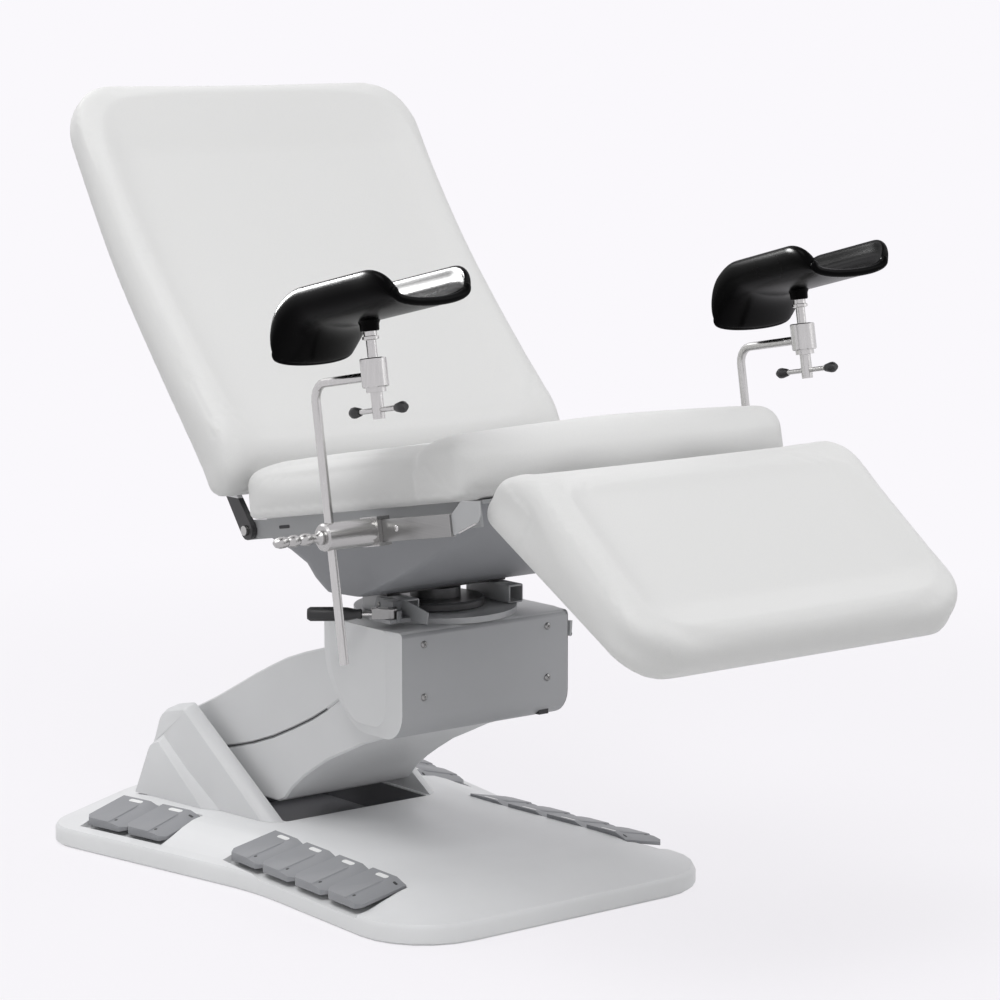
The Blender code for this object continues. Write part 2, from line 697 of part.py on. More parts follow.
# Swivel brake: a toggle on the right tube with a hand lever
def make_brake(swivel, origin):
    place = Vector((BRAKE_X - SWIVEL_X, BRAKE_Y, BRAKE_Z - origin.z))
    inner = -(TUBE_Y + TUBE_SIDE / 2 + GAP)
    low, _ = carrier_levels()
    arm = block((place.x - 0.040, BRAKE_Y - 0.014, low - origin.z),
                (place.x + 0.016, inner, place.z - 0.005))
    bracket = finish("brake_bracket", arm, FRAME, swivel)
    web = block((place.x - 0.040, BRAKE_Y + 0.012, low - origin.z),
                (place.x - 0.010, inner, low + TUBE_SIDE - 0.002 - origin.z))
    join(bracket, tool("brake_web", web, swivel))
    pin = rod(BRAKE_PIN_R, (place.x, place.y, place.z - 0.006), (place.x, place.y, place.z + 0.013), 14)
    join(bracket, tool("brake_pin", pin, swivel))
    pivot = axis("brake_axis", place, swivel)
    ahead = Vector((cos(BRAKE_TURN), sin(BRAKE_TURN), 0.0))
    low_face = -0.005 + GAP
    eye = turned([(0.011, low_face), (0.011, 0.009)], (0, 0, 0), (0, 0, 1), 20)
    lever = finish("brake_lever", eye, STEEL, pivot)
    shank = rod(0.0042, ahead * 0.007 + Vector((0, 0, 0.002)),
                ahead * (BRAKE_LENGTH - BRAKE_GRIP + 0.012) + Vector((0, 0, 0.002)), 12)
    join(lever, tool("lever_shank", shank, pivot))
    cut(lever, tool("lever_eye", rod(BRAKE_PIN_R + GAP, (0, 0, -0.05), (0, 0, 0.05), 14), pivot))
    start = ahead * (BRAKE_LENGTH - BRAKE_GRIP) + Vector((0, 0, 0.002))
    radius = BRAKE_GRIP_R
    profile = [(0.58 * radius, 0.0), (0.74 * radius, 0.002), (0.66 * radius, 0.008), (0.80 * radius, 0.016),
               (0.93 * radius, 0.024), (radius, 0.5 * BRAKE_GRIP), (radius, BRAKE_GRIP - 0.005),
               (0.72 * radius, BRAKE_GRIP)]
    grip = finish("brake_grip", turned(profile, start, ahead, 12), DARK, pivot)
    socket = rod(0.0042 + GAP, start - ahead * 0.01, start + ahead * (0.012 + GAP), 12)
    cut(grip, tool("grip_socket", socket, pivot))


# Seat: frame, cushion, hull
def make_seat(seat):
    top = SEAT_UNDER - GAP
    plate = block((SEAT_REAR, -PAN_HALF, top - PAN_THICK), (SEAT_FRONT - 0.02, PAN_HALF, top))
    pan = finish("seat_frame", plate, FRAME, seat)
    for side, word in ((-1, "right"), (1, "left")):
        edge = sorted((side * PAN_HALF, side * (PAN_HALF - 0.005)))
        flange = block((SEAT_REAR + 0.02, edge[0], top - PAN_FLANGE),
                       (SEAT_FRONT - 0.03, edge[1], top - 0.002))
        join(pan, tool(f"pan_flange_{word}", flange, seat))
        eye = arc((0.0, 0.0), 0.021, radians(-170), radians(-10), 6)
        ear_outline = eye + [(0.05, top - 0.002), (-0.05, top - 0.002)]
        y = side * PAN_EAR_Y
        ear = prism(ear_outline, y - PAN_EAR / 2, y + PAN_EAR / 2)
        join(pan, tool(f"pan_ear_{word}", ear, seat))
        y = side * BACK_ARM_Y
        hook = arc((BACK_HINGE_S, BACK_HINGE_N), 0.016, radians(90), radians(270), 6)
        hook += [(SEAT_REAR + 0.06, BACK_HINGE_N - 0.016), (SEAT_REAR + 0.06, top - 0.002),
                 (SEAT_REAR + 0.004, top - 0.002)]
        join(pan, tool(f"back_arm_{word}", prism(hook, y - BACK_ARM / 2, y + BACK_ARM / 2), seat))
        y = side * LEG_ARM_Y
        nose = arc((LEG_HINGE_S, LEG_HINGE_N), 0.014, radians(-90), radians(90), 6)
        nose += [(SEAT_FRONT - 0.022, top - 0.002), (HULL_TOP_FRONT + 0.012, top - 0.002),
                 (HULL_TOP_FRONT + 0.024, LEG_HINGE_N - 0.014)]
        join(pan, tool(f"leg_arm_{word}", prism(nose, y - LEG_ARM / 2, y + LEG_ARM / 2), seat))
    for name, s, n, radius in (("back_hinge", BACK_HINGE_S, BACK_HINGE_N, HINGE_PIN_R),
                               ("leg_hinge", LEG_HINGE_S, LEG_HINGE_N, HINGE_PIN_R),
                               ("tilt_eye", 0.0, 0.0, TILT_SHAFT_R)):
        hole = rod(radius + (RUN_GAP if name == "tilt_eye" else GAP), (s, -0.4, n), (s, 0.4, n), 18)
        cut(pan, tool(f"{name}_cutter", hole, seat))
    for side, word in ((-1, "right"), (1, "left")):
        y = side * BACK_ARM_Y
        ends = sorted((side * (BACK_ARM_Y - BACK_ARM / 2 - 0.004), side * (BACK_EAR_Y + 0.011)))
        pin = rod(HINGE_PIN_R, (BACK_HINGE_S, ends[0], BACK_HINGE_N),
                  (BACK_HINGE_S, ends[1], BACK_HINGE_N), 18)
        finish(f"back_hinge_pin_{word}", pin, STEEL, seat)
        spread = LEG_EAR_OFF + LEG_EAR / 2 + 0.002
        pin = rod(HINGE_PIN_R, (LEG_HINGE_S, side * LEG_ARM_Y - spread, LEG_HINGE_N),
                  (LEG_HINGE_S, side * LEG_ARM_Y + spread, LEG_HINGE_N), 18)
        finish(f"leg_hinge_pin_{word}", pin, STEEL, seat)
    make_seat_cushion(seat)
    make_hull(seat)


def make_seat_cushion(seat):
    length = SEAT_FRONT - SEAT_REAR
    stations = []
    rises = (0.0, 0.006, 0.016, 0.03, 0.07, 0.16, 0.28, 0.38)
    rear = [SEAT_REAR + rise for rise in rises]
    shares = (0.0, 0.12, 0.25, 0.45, 0.65, 0.8, 0.9, 0.96, 1.0)
    roll = [SEAT_FRONT - SEAT_ROLL_LENGTH * (1.0 - share) for share in shares]
    for along in rear + roll:
        end = along - SEAT_REAR
        nose = SEAT_FRONT - along
        over = max(0.0, 1.0 - nose / SEAT_ROLL_LENGTH)
        swell = SEAT_ROLL * sin(pi * min(1.0, over * 1.25) / 2.0) if over > 0 else 0.0
        half = SEAT_HALF - round_in(end, 0.022) - round_in(nose, 0.03) + 0.003 * sin(pi * over)
        low = SEAT_UNDER + round_in(end, 0.012) + round_in(nose, 0.035)
        high = SEAT_UNDER + SEAT_THICK + swell - round_in(end, 0.032) - round_in(nose, 0.046)
        high += 0.004 * sin(pi * end / length)
        stations.append((along, half, low, high, 0.002))
    mesh = cushion(stations, -0.006, lambda s, y, n: (s, y, n))
    finish("seat_cushion", mesh, HIDE, seat, 50.0)


def hull_ring(share, inset):
    # Share 0 is the top rim and 1 the open bottom; the plan is a rectangle with round corners.
    curve = share ** 0.85
    rear = HULL_TOP_REAR + (HULL_WAIST_REAR - HULL_TOP_REAR) * min(1.0, share / 0.55) ** 0.8 + inset
    rear += (HULL_LOW_REAR - HULL_WAIST_REAR) * max(0.0, (share - 0.55) / 0.45) ** 2
    front = HULL_TOP_FRONT + (HULL_LOW_FRONT - HULL_TOP_FRONT) * share ** 1.6 - inset
    half = HULL_TOP_HALF + (HULL_LOW_HALF - HULL_TOP_HALF) * curve - inset
    top = SEAT_UNDER - PAN_THICK - 2 * GAP
    rear_n = top + (HULL_LOW_REAR_N - top) * share
    front_n = top + (HULL_LOW_FRONT_N - top) * share
    radius = 0.03 + 0.03 * (1.0 - share)
    plan = rounded([(rear, -half, radius), (front, -half, radius * 0.5), (front, half, radius * 0.5),
                    (rear, half, radius)], 4)
    return [(s, y, rear_n + (front_n - rear_n) * (s - rear) / (front - rear)) for s, y in plan]


def make_hull(seat):
    shares = (0.0, 0.2, 0.4, 0.6, 0.8, 0.93, 1.0)
    outer = [hull_ring(share, 0.0) for share in shares]
    inner = [hull_ring(share, HULL_WALL) for share in reversed(shares)]
    mesh = bmesh.new()
    layers = [[mesh.verts.new(point) for point in ring] for ring in outer + inner]
    count = len(layers[0])
    for low, high in zip(layers, layers[1:] + layers[:1]):
        for i in range(count):
            mesh.faces.new((low[i], low[(i + 1) % count], high[(i + 1) % count], high[i]))
    finish("seat_hull", mesh, HOUSING, seat, 28.0)


# Backrest
def back_lines(along):
    turn = bend(along - BACK_BEND_AT, 0.12) * BACK_BEND
    rear = BACK_REAR_M + BACK_REAR_RISE * along + turn
    front = BACK_FRONT_M + BACK_FRONT_RISE * along + turn
    return rear, front


def make_back(back):
    along = [BACK_START + d for d in (0.0, 0.006, 0.016, 0.030, 0.08, 0.16, 0.25, 0.34, 0.42)]
    along += [BACK_END - d for d in (0.30, 0.24, 0.18, 0.13, 0.09, 0.06, 0.035, 0.018, 0.006, 0.0)]
    stations = []
    for u in along:
        rear, front = back_lines(u)
        foot = u - BACK_START
        top = BACK_END - u
        half = BACK_HALF - round_in(top, BACK_CORNER_R) - round_in(foot, 0.03)
        deep = front - rear
        low = rear + 0.35 * deep * round_in(top, 0.03) / 0.03 + round_in(foot, 0.03)
        high = front - 0.55 * deep * round_in(top, 0.045) / 0.045 - 0.75 * round_in(foot, 0.10)
        rim = BACK_RIM * min(1.0, max(0.0, (top - 0.02) / 0.12)) * min(1.0, 0.35 + foot / 0.12)
        stations.append((u, half, low + GAP, high, rim))
    # The frame's own axes are turned, so along is its Z and out of the front its X.
    mesh = cushion(stations, 0.002, lambda u, y, m: (m, y, u))
    finish("back_cushion", mesh, HIDE, back, 50.0)
    panel = []
    for u in [BACK_START + 0.028 + (BACK_END - BACK_START - 0.088) * i / 10 for i in range(11)]:
        rear, _ = back_lines(u)
        top = BACK_END - 0.045 - u
        half = BACK_HALF - 0.045 - round_in(max(top, 0.0), BACK_CORNER_R - 0.03)
        panel.append([(rear - BACK_PANEL, -half, u), (rear - GAP, -half, u), (rear - GAP, half, u),
                      (rear - BACK_PANEL, half, u)])
    frame = finish("back_panel", loft(panel), COVER, back)
    soften(frame, 0.002, 1)
    rear, _ = back_lines(BACK_START + 0.05)
    for side, word in ((-1, "right"), (1, "left")):
        eye = arc((0.0, 0.0), 0.016, radians(-180), radians(0), 6)
        seat_m = rear - 0.0035
        strap = eye + [(0.016, 0.030), (seat_m - 0.002, BACK_START + 0.05),
                       (seat_m + 0.003, BACK_START + 0.17), (seat_m - 0.016, BACK_START + 0.17)]
        y = side * BACK_EAR_Y
        join(frame, tool(f"back_ear_{word}", prism(strap, y - 0.005, y + 0.005), back))
    hole = rod(HINGE_PIN_R + RUN_GAP, (0.0, -0.4, 0.0), (0.0, 0.4, 0.0), 18)
    cut(frame, tool("back_pin_cutter", hole, back))


# Leg rest
def leg_lines(along):
    return LEG_LOW_M + LEG_LOW_RISE * along, LEG_TOP_M + LEG_TOP_RISE * along


def make_leg(leg):
    along = [LEG_START + d for d in (0.0, 0.004, 0.014, 0.030, 0.050, 0.075, 0.105, 0.15, 0.21)]
    along += [LEG_END - d for d in (0.13, 0.095, 0.065, 0.040, 0.022, 0.010, 0.003, 0.0)]
    stations = []
    for u in along:
        low, high = leg_lines(u)
        head = u - LEG_START
        foot = LEG_END - u
        half = LEG_HALF - round_in(foot, LEG_CORNER_R) - round_in(head, 0.03)
        low += round_in(head, 0.022) + 1.2 * round_in(foot, 0.032)
        high -= 0.85 * round_in(head, 0.105) + 0.8 * round_in(foot, 0.045)
        rim = LEG_RIM * min(1.0, max(0.0, (foot - 0.025) / 0.07))
        rim *= min(1.0, max(0.15, (head - 0.01) / 0.09))
        stations.append((u, half, low + GAP, high, rim))
    mesh = cushion(stations, 0.001, lambda u, y, m: (u, y, m))
    pad = finish("leg_cushion", mesh, HIDE, leg, 50.0)
    panel = []
    middle = 0.5 * (LEG_START + LEG_END)
    for u in (LEG_START + 0.03, LEG_START + 0.06, middle, LEG_END - 0.075, LEG_END - 0.05):
        low, _ = leg_lines(u)
        half = LEG_HALF - 0.035 - round_in(LEG_END - 0.045 - u, LEG_CORNER_R - 0.03)
        panel.append([(u, -half, low - LEG_PANEL), (u, -half, low - GAP), (u, half, low - GAP),
                      (u, half, low - LEG_PANEL)])
    frame = finish("leg_panel", loft(panel), COVER, leg)
    soften(frame, 0.002, 1)
    for side, word in ((-1, "right"), (1, "left")):
        y = side * LEG_ARM_Y
        notch = block((LEG_START - 0.05, y - LEG_NOTCH_HALF, -0.2),
                      (LEG_NOTCH_DEPTH, y + LEG_NOTCH_HALF, LEG_NOTCH_TOP))
        notch_tool = tool(f"leg_notch_{word}", notch, leg)
        cut(pad, notch_tool)
        cut(frame, notch_tool)
        low, _ = leg_lines(LEG_NOTCH_DEPTH)
        for off in (-LEG_EAR_OFF, LEG_EAR_OFF):
            eye = arc((0.0, 0.0), 0.013, radians(60), radians(225), 6)
            root = LEG_NOTCH_DEPTH
            cheek = eye + [(root - 0.004, low - LEG_PANEL + 0.001), (root + 0.02, low - LEG_PANEL + 0.001),
                           (root + 0.02, low - 0.002), (root - 0.002, low - 0.002),
                           (root - 0.002, low + 0.02)]
            ear = prism(cheek, y + off - LEG_EAR / 2, y + off + LEG_EAR / 2)
            join(frame, tool(f"leg_ear_{word}_{'in' if off < 0 else 'out'}", ear, leg))
    hole = rod(HINGE_PIN_R + RUN_GAP, (0.0, -0.4, 0.0), (0.0, 0.4, 0.0), 18)
    cut(frame, tool("leg_pin_cutter", hole, leg))


# Leg supports: rail, clamp, knob, bent rod with socket, stud, shell and tightening handle
def make_support(seat, side, word):
    y_rail = side * RAIL_Y
    half_t, half_h = RAIL_THICK / 2, RAIL_HEIGHT / 2
    rail = finish(f"side_rail_{word}", block((RAIL_REAR, y_rail - half_t, RAIL_N - half_h),
                                             (RAIL_FRONT, y_rail + half_t, RAIL_N + half_h)), STEEL, seat)
    soften(rail, 0.0015)
    for i, s in enumerate((RAIL_REAR + POST_INSET, RAIL_FRONT - POST_INSET)):
        post = rod(POST_R, (s, side * (PAN_HALF + GAP), RAIL_N), (s, y_rail, RAIL_N), 16)
        join(rail, tool(f"rail_post_{word}_{i + 1}", post, seat))

    clamp_axis = axis(f"clamp_axis_{word}", (ROD_S, side * ROD_Y, RAIL_N), seat)
    face = ROD_Y - RAIL_Y - half_t - GAP
    barrel = turned([(CLAMP_R - 0.003, -0.0165), (CLAMP_R, -0.0135), (CLAMP_R, face)],
                    (0, 0, 0), (0, -side, 0), 24)
    clamp = finish(f"rail_clamp_{word}", barrel, STEEL, clamp_axis)
    outer = half_h + GAP + CLAMP_LIP
    deep = face + RAIL_THICK + 2 * GAP + CLAMP_LIP
    spans = sorted((-side * (face - 0.008), -side * deep))
    jaw = block((-CLAMP_HALF, spans[0], -outer), (CLAMP_HALF, spans[1], outer))
    join(clamp, tool(f"clamp_jaw_{word}", jaw, clamp_axis))
    spans = sorted((-side * face, -side * (face + RAIL_THICK + 2 * GAP)))
    groove = block((-0.1, spans[0], -half_h - GAP), (0.1, spans[1], half_h + GAP))
    cut(clamp, tool(f"clamp_groove_{word}", groove, clamp_axis))
    spans = sorted((-side * (face + 0.002), -side * (deep + 0.05)))
    mouth = block((-0.1, spans[0], -half_h + 0.006), (0.1, spans[1], half_h - 0.006))
    cut(clamp, tool(f"clamp_mouth_{word}", mouth, clamp_axis))
    bore = rod(ROD_R + GAP, (0, 0, -0.1), (0, 0, 0.1), 14)
    cut(clamp, tool(f"clamp_bore_{word}", bore, clamp_axis))

    knob_axis = axis(f"knob_axis_{word}", (0, side * (0.0165 + GAP), 0), clamp_axis)
    length = KNOB_LENGTH
    profile = [(0.0105, 0.0), (0.0110, 0.004), (0.0070, 0.010), (0.0066, 0.018), (0.0095, 0.024),
               (0.0095, 0.034), (0.0062, 0.040), (0.0090, 0.046), (0.0096, 0.054), (0.0062, 0.061),
               (0.0084, 0.066), (0.0088, 0.075), (0.0070, length - 0.004), (0.0030, length)]
    finish(f"clamp_knob_{word}", turned(profile, (0, 0, 0), (0, side, 0), 12), STEEL, knob_axis, 50.0)

    rod_axis = axis(f"rod_axis_{word}", (0, 0, -RAIL_N), clamp_axis)
    corner = [(ROD_BEND_R - ROD_BEND_R * cos(a), 0.0, ROD_HIGH - ROD_BEND_R + ROD_BEND_R * sin(a))
              for a in (radians(18 * i) for i in range(6))]
    reach = SOCKET_S - ROD_S
    straight = [(0.0, 0.0, ROD_LOW), (0.0, 0.0, 0.0), (0.0, 0.0, 0.15)]
    path = straight + corner + [(reach - SOCKET_R / 2, 0.0, ROD_HIGH)]
    post = finish(f"support_rod_{word}", swept(path, ROD_R), STEEL, rod_axis, 50.0)
    body = turned([(SCREW_R + 0.006, SOCKET_LOW - 0.007), (SCREW_R + 0.006, SOCKET_LOW),
                   (SOCKET_R - 0.0015, SOCKET_LOW), (SOCKET_R, SOCKET_LOW + 0.0015),
                   (SOCKET_R, SOCKET_HIGH - 0.0015), (SOCKET_R - 0.0015, SOCKET_HIGH)],
                  (reach, 0, 0), (0, 0, 1), 18)
    join(post, tool(f"socket_{word}", body, rod_axis))
    middle = 0.5 * (SOCKET_LOW + SOCKET_HIGH)
    stud_bore = rod(STUD_R + GAP, (reach, 0, middle), (reach, 0, 0.5), 18)
    cut(post, tool(f"stud_bore_{word}", stud_bore, rod_axis))
    screw_bore = rod(SCREW_R + GAP, (reach, 0, 0.1), (reach, 0, middle - 0.004), 18)
    cut(post, tool(f"screw_bore_{word}", screw_bore, rod_axis))

    handle_axis = axis(f"handle_axis_{word}", (reach, 0, 0), rod_axis)
    shank = rod(SCREW_R, (0, 0, SCREW_LOW), (0, 0, middle - 0.005), 18)
    screw = finish(f"tee_handle_{word}", shank, STEEL, handle_axis)
    bar = rod(HANDLE_R, (-HANDLE_HALF + 0.004, 0, HANDLE_N), (HANDLE_HALF - 0.004, 0, HANDLE_N), 12)
    join(screw, tool(f"tee_bar_{word}", bar, handle_axis))
    for end, place in ((-1, "rear"), (1, "front")):
        start = end * (HANDLE_HALF - GRIP_LENGTH)
        grip = turned([(0.0055, 0.0), (0.0064, 0.002), (GRIP_R, GRIP_LENGTH * 0.55),
                       (GRIP_R, GRIP_LENGTH * 0.8), (GRIP_R * 0.55, GRIP_LENGTH + 0.002)],
                      (start, 0, HANDLE_N), (end, 0, 0), 12)
        piece = finish(f"tee_grip_{place}_{word}", grip, DARK, handle_axis, 50.0)
        seat_end = end * (HANDLE_HALF - 0.004 + GAP)
        bore = rod(HANDLE_R + GAP, (0, 0, HANDLE_N), (seat_end, 0, HANDLE_N), 12)
        cut(piece, tool(f"grip_bore_{place}_{word}", bore, handle_axis))

    stud_axis = axis(f"stud_axis_{word}", (reach, 0, 0), rod_axis)
    neck = STUD_COLLAR_R - 0.0025
    stud = turned([(STUD_R, middle + 0.001), (STUD_R, 0.3385), (STUD_COLLAR_R, 0.3400),
                   (STUD_COLLAR_R, 0.3440), (neck, 0.3450), (neck, STUD_SEAT)], (0, 0, 0), (0, 0, 1), 20)
    finish(f"shell_stud_{word}", stud, STEEL, stud_axis)
    make_shell(stud_axis, side, word)


def shell_lines(along):
    # The trough's floor height and its wall height at a distance along it.
    fall = max(0.0, SHELL_REAR + 0.085 - along) / 0.085
    floor = SHELL_BOTTOM + SHELL_RISE * (along - SOCKET_S) - SHELL_DROP * fall ** 2.0
    return floor, SHELL_DEPTH


def shell_ring(along, turn):
    # A U section: the outer skin, then the inner one back, with a round rim.
    floor, wall = shell_lines(along)
    rear = round_in(along - SHELL_REAR, 0.035)
    front = round_in(SHELL_FRONT - along, 0.040)
    half = SHELL_HALF - 0.35 * rear - 0.40 * front
    wall -= 0.95 * rear + 0.75 * front
    floor += 0.25 * rear
    outer = []
    for i in range(9):
        a = radians(-90 + 22.5 * i)
        outer.append((half * sin(a), floor + wall * (1.0 - cos(a) ** 0.66)))
    inner = []
    for i in range(9):
        a = radians(90 - 22.5 * i)
        rise = (wall - SHELL_WALL * 0.75) * (1.0 - cos(a) ** 0.66)
        inner.append(((half - SHELL_WALL) * sin(a), floor + SHELL_WALL + rise))
    rim_right = [(half - SHELL_WALL * 0.5, floor + wall + SHELL_WALL * 0.42)]
    rim_left = [(-half + SHELL_WALL * 0.5, floor + wall + SHELL_WALL * 0.42)]
    x = along - SOCKET_S
    return [(x * cos(turn) - y * sin(turn), x * sin(turn) + y * cos(turn), n - STUD_SEAT)
            for y, n in outer + rim_right + inner + rim_left]


def make_shell(stud_axis, side, word):
    shell_axis = axis(f"shell_axis_{word}", (0, 0, STUD_SEAT), stud_axis)
    count = 16
    spread = [0.5 - 0.5 * cos(pi * i / count) for i in range(count + 1)]
    stations = [SHELL_REAR + (SHELL_FRONT - SHELL_REAR) * share for share in spread]
    rings = [shell_ring(s, -side * SHELL_TURN) for s in stations]
    shell = finish(f"knee_shell_{word}", loft(rings), DARK, shell_axis, 50.0)
    profile = [(BOSS_R, GAP), (BOSS_R + 0.001, 0.010), (BOSS_R + 0.006, 0.021)]
    boss = turned(profile, (0, 0, 0), (0, 0, 1), 20)
    join(shell, tool(f"shell_boss_{word}", boss, shell_axis))


make_base()
make_pedals()
make_cheeks()
lift_axis = axis("lift_axis", (LIFT_X, 0.0, LIFT_Z))
make_arm(lift_axis)
head_axis = axis("head_axis", (HEAD_X - LIFT_X, 0.0, HEAD_Z - LIFT_Z), lift_axis)
make_head(head_axis)
swivel_origin = Vector((SWIVEL_X, 0.0, HOUSING_TOP))
swivel_axis = axis("swivel_axis", (SWIVEL_X - HEAD_X, 0.0, HOUSING_TOP - HEAD_Z), head_axis)
make_swivel(swivel_axis, swivel_origin)
make_brake(swivel_axis, swivel_origin)
seat_axis = axis("seat_axis", (TILT_X - SWIVEL_X, 0.0, TILT_Z - HOUSING_TOP), swivel_axis, -TILT)
make_seat(seat_axis)
back_axis = axis("back_axis", (BACK_HINGE_S, 0.0, BACK_HINGE_N), seat_axis, TILT - BACK_LEAN)
make_back(back_axis)
leg_axis = axis("leg_axis", (LEG_HINGE_S, 0.0, LEG_HINGE_N), seat_axis, TILT + LEG_DROP)
make_leg(leg_axis)
for support_side, support_word in ((-1, "right"), (1, "left")):
    make_support(seat_axis, support_side, support_word)
bpy.context.view_layer.update()
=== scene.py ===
from math import cos, exp, pi, radians, sin, sqrt

import bmesh
import bpy
from mathutils import Matrix, Vector
from mathutils.bvhtree import BVHTree


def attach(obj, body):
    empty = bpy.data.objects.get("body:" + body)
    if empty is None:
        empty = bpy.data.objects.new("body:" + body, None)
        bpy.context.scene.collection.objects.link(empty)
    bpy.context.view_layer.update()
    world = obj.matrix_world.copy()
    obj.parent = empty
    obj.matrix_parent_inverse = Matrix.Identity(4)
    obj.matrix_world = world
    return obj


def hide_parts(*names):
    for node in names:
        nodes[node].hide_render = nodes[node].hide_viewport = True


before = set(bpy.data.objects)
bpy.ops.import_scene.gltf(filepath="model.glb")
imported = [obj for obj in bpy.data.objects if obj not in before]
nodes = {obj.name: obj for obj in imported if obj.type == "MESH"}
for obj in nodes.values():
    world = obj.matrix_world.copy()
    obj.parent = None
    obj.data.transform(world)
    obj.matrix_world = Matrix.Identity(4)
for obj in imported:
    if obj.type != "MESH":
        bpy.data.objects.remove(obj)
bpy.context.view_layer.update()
scene = bpy.context.scene
sides = (("right", -1), ("left", 1))
print("frame loaded:", len(nodes), "solids")

# camera at the photograph's angle
camera = {"place": (4.3702, -3.2105, 1.41), "turn": (81.5697, 0.0, 51.2117), "lens": 116.37,
          "sensor": 36.0}
cameraData = bpy.data.cameras.new("photoCamera")
cameraData.lens = camera["lens"]
cameraData.sensor_width = camera["sensor"]
cameraObject = bpy.data.objects.new("photoCamera", cameraData)
cameraObject.location = camera["place"]
cameraObject.rotation_euler = [radians(angle) for angle in camera["turn"]]
scene.collection.objects.link(cameraObject)
scene.camera = cameraObject
scene.view_settings.view_transform = "Standard"


# small helpers for node trees
def addNode(tree, kind, inputs=None, **settings):
    node = tree.nodes.new(kind)
    for name, value in settings.items():
        setattr(node, name, value)
    for name, value in (inputs or {}).items():
        if isinstance(value, bpy.types.NodeSocket):
            tree.links.new(value, node.inputs[name])
        else:
            node.inputs[name].default_value = value
    return node


def newGroup(name, kind, inputs, outputs):
    tree = bpy.data.node_groups.new(name, kind)
    for label, socket, value in inputs:
        item = tree.interface.new_socket(label, in_out="INPUT", socket_type=socket)
        if value is not None:
            item.default_value = value
    for label, socket in outputs:
        tree.interface.new_socket(label, in_out="OUTPUT", socket_type=socket)
    return tree, tree.nodes.new("NodeGroupInput").outputs, tree.nodes.new("NodeGroupOutput").inputs


def inputId(tree, label):
    items = [item for item in tree.interface.items_tree if item.in_out == "INPUT"]
    return next(item.identifier for item in items if item.name == label)


# stage: pale floor, even surroundings and soft lamps
stage = {"floor": 60.0, "pale": (0.956, 0.939, 0.973), "floorGlow": 0.78, "floorTone": 0.19, "ambient": 0.50,
         "fadeFrom": 1.3, "fadeTo": 3.2,
         "lamps": [("keyLamp", (1.5, -1.9, 4.3), 2.6, 98.0), ("fillLamp", (2.6, 3.0, 2.8), 2.6, 40.0),
                   ("rearLamp", (-2.6, -0.6, 3.6), 2.6, 46.0)],
         "aim": (0.1, 0.0, 0.55)}


def seenRays(tree):
    path = addNode(tree, "ShaderNodeLightPath")
    first = addNode(tree, "ShaderNodeMath", {0: path.outputs["Is Camera Ray"], 1: path.outputs["Is Glossy Ray"]},
                    operation="MAXIMUM")
    both = addNode(tree, "ShaderNodeMath", {0: first.outputs[0], 1: path.outputs["Is Transmission Ray"]},
                   operation="MAXIMUM")
    return both.outputs[0]


def makeStage():
    world = bpy.data.worlds.new("paleStudio")
    world.use_nodes = True
    tree = world.node_tree
    tree.nodes.clear()
    pale = (*stage["pale"], 1.0)
    soft = addNode(tree, "ShaderNodeBackground", {"Color": (1.0, 1.0, 1.0, 1.0), "Strength": stage["ambient"]})
    seen = addNode(tree, "ShaderNodeBackground", {"Color": pale, "Strength": 1.0})
    mix = addNode(tree, "ShaderNodeMixShader", {0: seenRays(tree), 1: soft.outputs[0], 2: seen.outputs[0]})
    addNode(tree, "ShaderNodeOutputWorld", {"Surface": mix.outputs[0]})
    scene.world = world
    half, level = stage["floor"] / 2.0, -0.0006
    data = bpy.data.meshes.new("paleFloor")
    data.from_pydata([(-half, -half, level), (half, -half, level), (half, half, level), (-half, half, level)], [],
                     [(0, 1, 2, 3)])
    floor = bpy.data.objects.new("paleFloor", data)
    scene.collection.objects.link(floor)
    finish = bpy.data.materials.new("floorPale")
    finish.use_nodes = True
    tree = finish.node_tree
    tree.nodes.clear()
    # near the object the floor takes its shade, further off it fades into the plain surroundings
    place = addNode(tree, "ShaderNodeNewGeometry").outputs["Position"]
    away = addNode(tree, "ShaderNodeVectorMath", {0: place}, operation="LENGTH")
    fade = addNode(tree, "ShaderNodeMapRange", {"Value": away.outputs["Value"], "From Min": stage["fadeFrom"],
                                                "From Max": stage["fadeTo"]}, interpolation_type="SMOOTHSTEP")
    tone = [c * stage["floorTone"] for c in stage["pale"]]
    matt = addNode(tree, "ShaderNodeBsdfDiffuse", {"Color": (0.8, 0.8, 0.8, 1.0)})
    shade = addNode(tree, "ShaderNodeBsdfDiffuse", {"Color": (*tone, 1.0)})
    glow = addNode(tree, "ShaderNodeEmission", {"Color": pale, "Strength": stage["floorGlow"]})
    lit = addNode(tree, "ShaderNodeAddShader", {0: shade.outputs[0], 1: glow.outputs[0]})
    plain = addNode(tree, "ShaderNodeEmission", {"Color": pale, "Strength": 1.0})
    near = addNode(tree, "ShaderNodeMixShader", {0: fade.outputs[0], 1: lit.outputs[0], 2: plain.outputs[0]})
    mix = addNode(tree, "ShaderNodeMixShader", {0: seenRays(tree), 1: matt.outputs[0], 2: near.outputs[0]})
    addNode(tree, "ShaderNodeOutputMaterial", {"Surface": mix.outputs[0]})
    data.materials.append(finish)
    for name, place, size, power in stage["lamps"]:
        lamp = bpy.data.lights.new(name, "AREA")
        lamp.size = size
        lamp.energy = power
        lampObject = bpy.data.objects.new(name, lamp)
        lampObject.location = place
        aim = Vector(stage["aim"]) - Vector(place)
        lampObject.rotation_euler = aim.to_track_quat("-Z", "Y").to_euler()
        scene.collection.objects.link(lampObject)


makeStage()
print("stage set")


